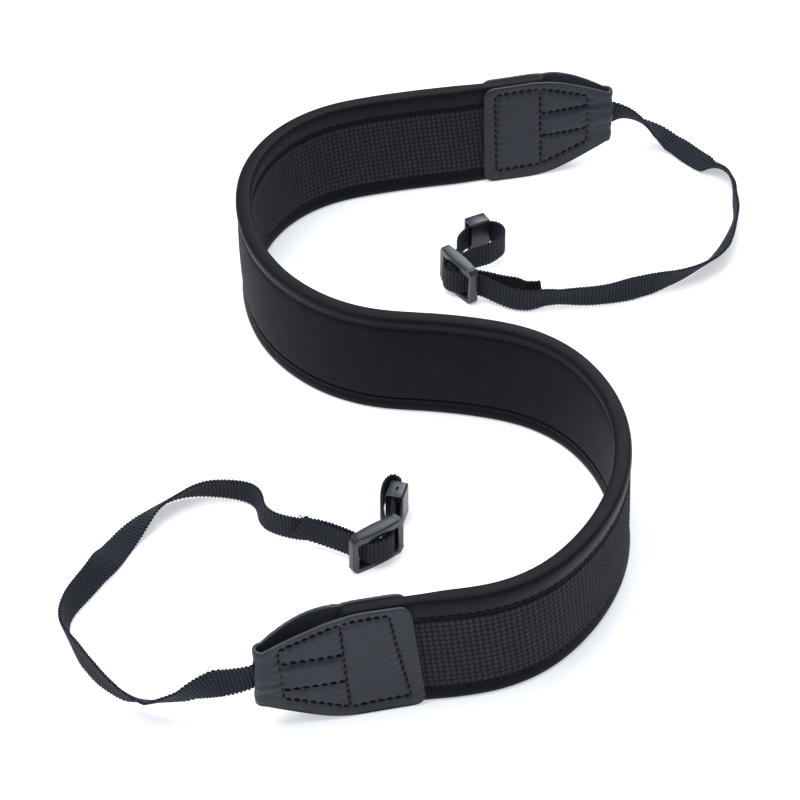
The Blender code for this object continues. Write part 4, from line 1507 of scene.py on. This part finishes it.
    def fine(self, step: float) -> tuple[np.ndarray, np.ndarray, np.ndarray]:
        """Return closely spaced stations of the strap.

        Args:
            step: The distance between two stations.

        Returns:
            Their places, their tilts and their distances along the strap.
        """
        rough = np.array([tuple(p) for p in self.points])
        s = lengths_along(rough)
        slope = np.gradient(rough, s, axis=0)
        fine = np.linspace(0.0, s[-1], round(s[-1] / step) + 1)
        k = np.clip(np.searchsorted(s, fine, side="right") - 1, 0, len(s) - 2)
        span = (s[k + 1] - s[k])[:, None]
        t = ((fine - s[k])[:, None]) / span
        low, high = (1 - t) ** 2, t ** 2
        places = rough[k] * low * (1 + 2 * t) + slope[k] * span * t * low
        places = places + rough[k + 1] * high * (3 - 2 * t) + slope[k + 1] * span * high * (t - 1)
        tilts = np.interp(fine, s, self.tilts)
        return places, tilts, fine

    def slider_matrix(self) -> Matrix:
        """Return the slider's place: X along it, Y to its front, Z up."""
        return Matrix((
            (self.along.x, self.front.x, 0.0, self.slider_centre.x),
            (self.along.y, self.front.y, 0.0, self.slider_centre.y),
            (0.0, 0.0, 1.0, 0.0),
            (0.0, 0.0, 0.0, 1.0),
        ))

    def keeper_matrix(self) -> Matrix:
        """Return the keeper's place: X along the strand, Z up."""
        centre = self.keeper_centre
        spot = Matrix.Translation((centre.x, centre.y, self.keeper_height / 2))
        return spot @ Matrix.Rotation(self.keeper_heading, 4, "Z")


@dataclass
class Webbing:
    """One webbing strap, ribbed across, with scalloped edges."""

    course: StrapCourse
    finish: WebbingFinish
    samples_per_rib: int = 5
    rib_depth: float = 0.38
    cord_depth: float = 0.3
    scallop: float = 0.11
    rib_power: float = 0.7
    face_share: float = 0.94
    face_samples: int = 17
    side: tuple[tuple[float, float], ...] = ((-0.985, 0.6), (-1.0, 0.0), (-0.985, -0.6))
    frays: int = 16
    fray_length: float = 2.6 * MM
    fray_radius: float = 0.16 * MM
    fray_root: float = 0.6 * MM
    fray_overlap: float = 0.3 * MM
    fray_row: float = 0.44
    fray_splay: float = 0.5 * MM

    def frames(self, step: float) -> tuple[np.ndarray, ...]:
        """Return the strap's stations.

        Args:
            step: The distance between two stations.

        Returns:
            Their places, the directions across, through and along the strap, and their
            distances along it.
        """
        places, tilts, distances = self.course.fine(step)
        along = np.gradient(places, axis=0)
        along = along / np.linalg.norm(along, axis=1)[:, None]
        left = np.stack([-along[:, 1], along[:, 0], np.zeros(len(along))], axis=1)
        left = left / np.linalg.norm(left, axis=1)[:, None]
        wide = left * np.sin(tilts)[:, None]
        wide[:, 2] += np.cos(tilts)
        wide = wide - along * np.sum(wide * along, axis=1)[:, None]
        wide = wide / np.linalg.norm(wide, axis=1)[:, None]
        return places, wide, np.cross(along, wide), along, distances

    def section(self) -> np.ndarray:
        """Return the webbing's section as shares of its half width and half thickness."""
        face = np.linspace(self.face_share, -self.face_share, self.face_samples).tolist()
        half = [(x, 1.0) for x in face] + list(self.side)
        return np.array(half + [(-x, -y) for x, y in half] + half[:1])

    def ribbon(self) -> bmesh.types.BMesh:
        """Return the strap's woven body."""
        pitch = self.finish.pitch * MM
        places, wide, thick, _, distances = self.frames(pitch / self.samples_per_rib)
        section = self.section()
        grid = BentGrid(len(places) - 1, len(section) - 1)
        i, (u, v) = grid.i, section[grid.j].T
        rib = np.abs(np.sin(distances[i] * math.pi / pitch)) ** self.rib_power
        shift = (np.floor(distances[i] / pitch) % 2) * 0.5
        middle = u * self.course.width / 2
        cord = np.abs(np.sin((middle / (self.finish.cord_pitch * MM) + shift) * math.pi))
        width = middle * (1 - self.scallop * (1 - rib))
        depth = 1 - self.rib_depth * (1 - rib) - self.cord_depth * (1 - cord)
        depth = v * (self.course.thickness / 2 * depth)
        grid.bend(places[i] + wide[i] * width[:, None] + thick[i] * depth[:, None])
        grid.lay_threads(distances[i], middle)
        return grid.close()

    def fray(self) -> bmesh.types.BMesh:
        """Return loose threads at the tail's cut end."""
        places, wide, thick, along, _ = self.frames(1.0 * MM)
        tip, across, through_it, ahead = (Vector(row[-1]) for row in (places, wide, thick, along))
        bm = bmesh.new()
        for i in range(self.frays):
            share = (i + 0.5) / self.frays * 2 - 1
            spread = math.sin(i * 2.4)
            reach = self.fray_length * (0.55 + 0.45 * math.sin(i * 1.7 + 1.0) ** 2)
            root = tip + across * (share * self.course.width * self.fray_row)
            root = root + through_it * (spread * 0.3 * MM)
            bend = root + ahead * (reach * 0.55) + through_it * (spread * 0.35 * MM)
            point = bend + ahead * (reach * 0.5) + across * (math.cos(i * 1.9) * self.fray_splay)
            sew(bm, root - ahead * self.fray_root, bend, self.fray_radius)
            sew(bm, bend - ahead * self.fray_overlap, point, self.fray_radius * 0.8)
        return bm

    def build(self, material: bpy.types.Material, thread: bpy.types.Material) -> None:
        """Add the strap."""
        name = self.course.strap.end.value
        add_piece("webbing_" + name, self.ribbon(), material, Slot.WEBBING, ["strap_" + name])
        if self.course.strap.frayed:
            add_piece("frayed_end_" + name, self.fray(), thread, Slot.WEBBING)


@dataclass
class Slider:
    """A moulded slider with two windows either side of its centre bar."""

    course: StrapCourse
    length: float = 21.0 * MM
    height: float = 15.4 * MM
    rail: float = 2.1 * MM
    top_rail: float = 3.0 * MM
    end_bar: float = 2.4 * MM
    thickness: float = 3.0 * MM
    bow: float = 2.0 * MM
    bow_lines: tuple[float, ...] = (2.8 * MM, 4.6 * MM, 6.4 * MM)
    centre_bar: float = 2.0 * MM
    centre_thickness: float = 1.7 * MM
    corner: float = 2.6 * MM
    window_corner: float = 1.0 * MM
    edge: float = 0.5 * MM

    def columns(self) -> list[float]:
        """Return the column lines along the slider, close enough for its bow."""
        half = self.length / 2
        right = [self.centre_bar / 2, *self.bow_lines, half - self.end_bar, half]
        return [-x for x in reversed(right)] + right

    def rows(self) -> list[float]:
        """Return the row lines up the slider."""
        step = (self.thickness - self.centre_thickness) / 2
        low, high = self.rail, self.height - self.top_rail
        return [0.0, low, low + step, high - step, high, self.height]

    def half_thickness(self, x: float, row: int) -> float:
        """Return half of the thickness at distance x along and at a row line."""
        between = row in (2, 3)
        if between and abs(x) < self.centre_bar / 2 + SAME_PLACE:
            return self.centre_thickness / 2
        bow = 0.0 if between else self.bow * (1 - (2 * x / self.length) ** 2)
        return (self.thickness + bow) / 2

    def shape(self) -> bmesh.types.BMesh:
        """Return the slider at its own origin."""
        columns, rows = self.columns(), self.rows()
        grid = BentGrid(len(columns) - 1, len(rows) - 1)
        bm = grid.bm
        lines = [(columns[i], rows[j], int(j)) for i, j in zip(grid.i, grid.j)]
        for vert, (x, z, row) in zip(bm.verts, lines):
            vert.co = (x, -self.half_thickness(x, row), z)
        window = self.length / 2 - self.end_bar
        holes = [
            face for face in bm.faces
            if self.centre_bar / 2 < abs(face.calc_center_median().x) < window
            and self.rail < face.calc_center_median().z < self.height - self.top_rail
        ]
        bmesh.ops.delete(bm, geom=holes, context="FACES")
        made = bmesh.ops.extrude_face_region(bm, geom=bm.faces[:])["geom"]
        for vert in (item for item in made if isinstance(item, bmesh.types.BMVert)):
            vert.co.y = -vert.co.y
        bmesh.ops.recalc_face_normals(bm, faces=bm.faces)
        outer = [e for e in self.crossing(bm) if all(self.at_corner(v.co) for v in e.verts)]
        round_edges(bm, outer, self.corner, CORNER_SEGMENTS)
        inner = [
            e for e in self.crossing(bm)
            if abs(abs(e.verts[0].co.x) - window) < SAME_PLACE and e.calc_face_angle(0.0) > 1.0
        ]
        round_edges(bm, inner, self.window_corner, EDGE_SEGMENTS)
        round_edges(bm, sharp_edges(bm, 50.0), self.edge, EDGE_SEGMENTS)
        return bm

    def crossing(self, bm: bmesh.types.BMesh) -> list[bmesh.types.BMEdge]:
        """Return the edges that run from the slider's front to its back."""
        shortest = self.centre_thickness / 2
        return [e for e in bm.edges if abs(e.verts[0].co.y - e.verts[1].co.y) > shortest]

    def at_corner(self, place: Vector) -> bool:
        """Tell whether a place is at one of the four outer corners."""
        at_end = abs(abs(place.x) - self.length / 2) < SAME_PLACE
        return at_end and min(place.z, self.height - place.z) < SAME_PLACE

    def build(self, plastic: bpy.types.Material) -> None:
        """Add the slider."""
        name = self.course.strap.end.value
        bm = self.shape()
        bmesh.ops.transform(bm, matrix=self.course.slider_matrix(), verts=bm.verts)
        covered = ["slider_" + name]
        add_piece("moulded_slider_" + name, bm, plastic, Slot.PLASTIC, covered, MOULDED_CREASE)


@dataclass
class Keeper:
    """A rounded rectangular sleeve round one strand of the lug loop."""

    course: StrapCourse
    length: float = 8.0 * MM
    width: float = 6.2 * MM
    height: float = 13.4 * MM
    wall: float = 1.3 * MM
    corner: float = 1.0 * MM
    edge: float = 0.28 * MM
    slot: tuple[float, float] = (2.4 * MM, 0.8 * MM)
    slot_depth: float = 0.9 * MM

    def shape(self) -> bmesh.types.BMesh:
        """Return the keeper at its own origin."""
        bm = bmesh.new()
        bmesh.ops.create_cube(bm, size=1.0)
        bmesh.ops.scale(bm, vec=(self.length, self.width, self.height), verts=bm.verts)
        long_edges = [e for e in bm.edges if abs(e.verts[0].co.x - e.verts[1].co.x) > SAME_PLACE]
        round_edges(bm, long_edges, self.corner, CORNER_SEGMENTS)
        ends = [face for face in bm.faces if abs(face.normal.x) > FACING]
        bmesh.ops.inset_individual(bm, faces=ends, thickness=self.wall, use_even_offset=True)
        rims = [edge for face in ends for edge in face.edges]
        bmesh.ops.delete(bm, geom=ends, context="FACES_ONLY")
        bmesh.ops.bridge_loops(bm, edges=rims)
        bmesh.ops.recalc_face_normals(bm, faces=bm.faces)
        round_edges(bm, sharp_edges(bm, 60.0), self.edge, EDGE_SEGMENTS)
        if self.course.strap.keeper_slot:
            self.sink_slot(bm)
        return bm

    def sink_slot(self, bm: bmesh.types.BMesh) -> None:
        """Sink a small slot into the keeper's top."""
        half_length, half_width = self.slot[0] / 2, self.slot[1] / 2
        for axis, half in ((Vector((1, 0, 0)), half_length), (Vector((0, 1, 0)), half_width)):
            for sign in (-1, 1):
                top = [f for f in bm.faces if f.normal.z > FACING and f.calc_center_median().z > 0]
                edges = {e for f in top for e in f.edges}
                cut = set(top) | edges | {v for f in top for v in f.verts}
                place = axis * (sign * half)
                bmesh.ops.bisect_plane(bm, geom=list(cut), plane_co=place, plane_no=axis)
        floor = []
        for face in bm.faces:
            x, y, z = face.calc_center_median()
            within = abs(x) < half_length and abs(y) < half_width
            if within and z > self.height / 2 - 10 * SAME_PLACE:
                floor.append(face)
        made = bmesh.ops.extrude_face_region(bm, geom=floor)["geom"]
        sunk = [item for item in made if isinstance(item, bmesh.types.BMVert)]
        bmesh.ops.translate(bm, vec=(0.0, 0.0, -self.slot_depth), verts=sunk)
        bmesh.ops.delete(bm, geom=[face for face in floor if face.is_valid], context="FACES_ONLY")

    def build(self, plastic: bpy.types.Material) -> None:
        """Add the keeper."""
        name = self.course.strap.end.value
        bm = self.shape()
        bmesh.ops.transform(bm, matrix=self.course.keeper_matrix(), verts=bm.verts)
        covered = ["keeper_" + name]
        add_piece("moulded_keeper_" + name, bm, plastic, Slot.PLASTIC, covered, MOULDED_CREASE)


@dataclass(frozen=True)
class Softbox:
    """One square studio light, aimed at the strap."""

    name: str
    place: tuple[float, float, float]
    size: float
    power: float
    colour: Colour = (0.90, 0.95, 1.0)

    def build(self) -> None:
        """Add the light."""
        lamp = bpy.data.lights.new(self.name, "AREA")
        lamp.shape = "SQUARE"
        lamp.size = self.size
        lamp.energy = self.power
        lamp.color = self.colour
        light = place_object(self.name, lamp)
        light.location = self.place
        light.rotation_euler = (-Vector(self.place)).to_track_quat("-Z", "Y").to_euler()


@dataclass
class Studio:
    """The pale floor, the soft lights and the camera."""

    elevation: float = 40.0
    distance: float = 1.0791
    aim: tuple[float, float] = (-0.0012, 0.0035)
    lens: float = 135.0
    sensor: float = 36.0
    floor_size: float = 6.0
    ambient: float = 0.5
    air: Colour = (0.80, 0.87, 1.0)
    lights: tuple[Softbox, ...] = (
        Softbox("key_light", (-0.35, -0.1, 1.25), 0.9, 12.0),
        Softbox("rim_light", (0.3, 1.0, 0.85), 0.6, 6.5),
    )

    def build(self) -> None:
        """Add everything that isn't part of the strap."""
        bm = bmesh.new()
        bmesh.ops.create_grid(bm, x_segments=4, y_segments=4, size=self.floor_size / 2)
        mesh = bpy.data.meshes.new("floor")
        bm.to_mesh(mesh)
        bm.free()
        mesh.materials.append(FloorFinish().build())
        floor = place_object("floor", mesh)
        for light in self.lights:
            light.build()
        world = bpy.data.worlds.new("studio_air")
        world.use_nodes = True
        world.node_tree.nodes["Background"].inputs["Color"].default_value = (*self.air, 1.0)
        world.node_tree.nodes["Background"].inputs["Strength"].default_value = self.ambient
        bpy.context.scene.world = world
        bpy.context.scene.view_settings.view_transform = "Standard"
        self.place_camera()

    def place_camera(self) -> None:
        """Set the camera at the picture's distance and height."""
        angle = math.radians(self.elevation)
        lens = bpy.data.cameras.new("camera")
        lens.lens = self.lens
        lens.sensor_width = self.sensor
        camera = place_object("camera", lens)
        back, up = self.distance * math.cos(angle), self.distance * math.sin(angle)
        camera.location = (self.aim[0], self.aim[1] - back, up)
        camera.rotation_euler = (math.pi / 2 - angle, 0.0, 0.0)
        bpy.context.scene.camera = camera


NEAR_CORNERS = ((7.9, 18.6), (25.4, 18.4), (22.6, -17.4), (4.2, -16.8), (45.3, 11.0), (43.8, -9.4))
FAR_CORNERS = ((4.3, 18.0), (22.0, 18.3), (23.0, -16.2), (4.9, -16.8), (41.6, 11.4), (41.8, -9.4))


def main() -> None:
    """Build the studio and the strap in order; each piece logs its face count."""
    Studio().build()
    band = NeckBand()
    band.build()
    leather = LeatherFinish().build()
    tab_thread = TAB_THREAD.build()
    plastic = PlasticFinish().build()
    webbing_finish = WebbingFinish()
    webbing = webbing_finish.build()
    loose_thread = LOOSE_THREAD.build()
    tabs = [
        EndTab(band, End.NEAR, slant=2.7 * MM, corners=NEAR_CORNERS, channel=(-6.0, 5.2)),
        EndTab(band, End.FAR, slant=-0.3 * MM, corners=FAR_CORNERS, channel=(-3.4, 6.9)),
    ]
    for tab in tabs:
        tab.build(leather, tab_thread)
    for strap in (NEAR_STRAP, FAR_STRAP):
        course = StrapCourse(strap, band)
        Webbing(course, webbing_finish).build(webbing, loose_thread)
        Slider(course).build(plastic)
        Keeper(course).build(plastic)


if __name__ == "__main__":
    logging.basicConfig(level=logging.INFO, format="%(message)s", stream=sys.stdout)
    main()
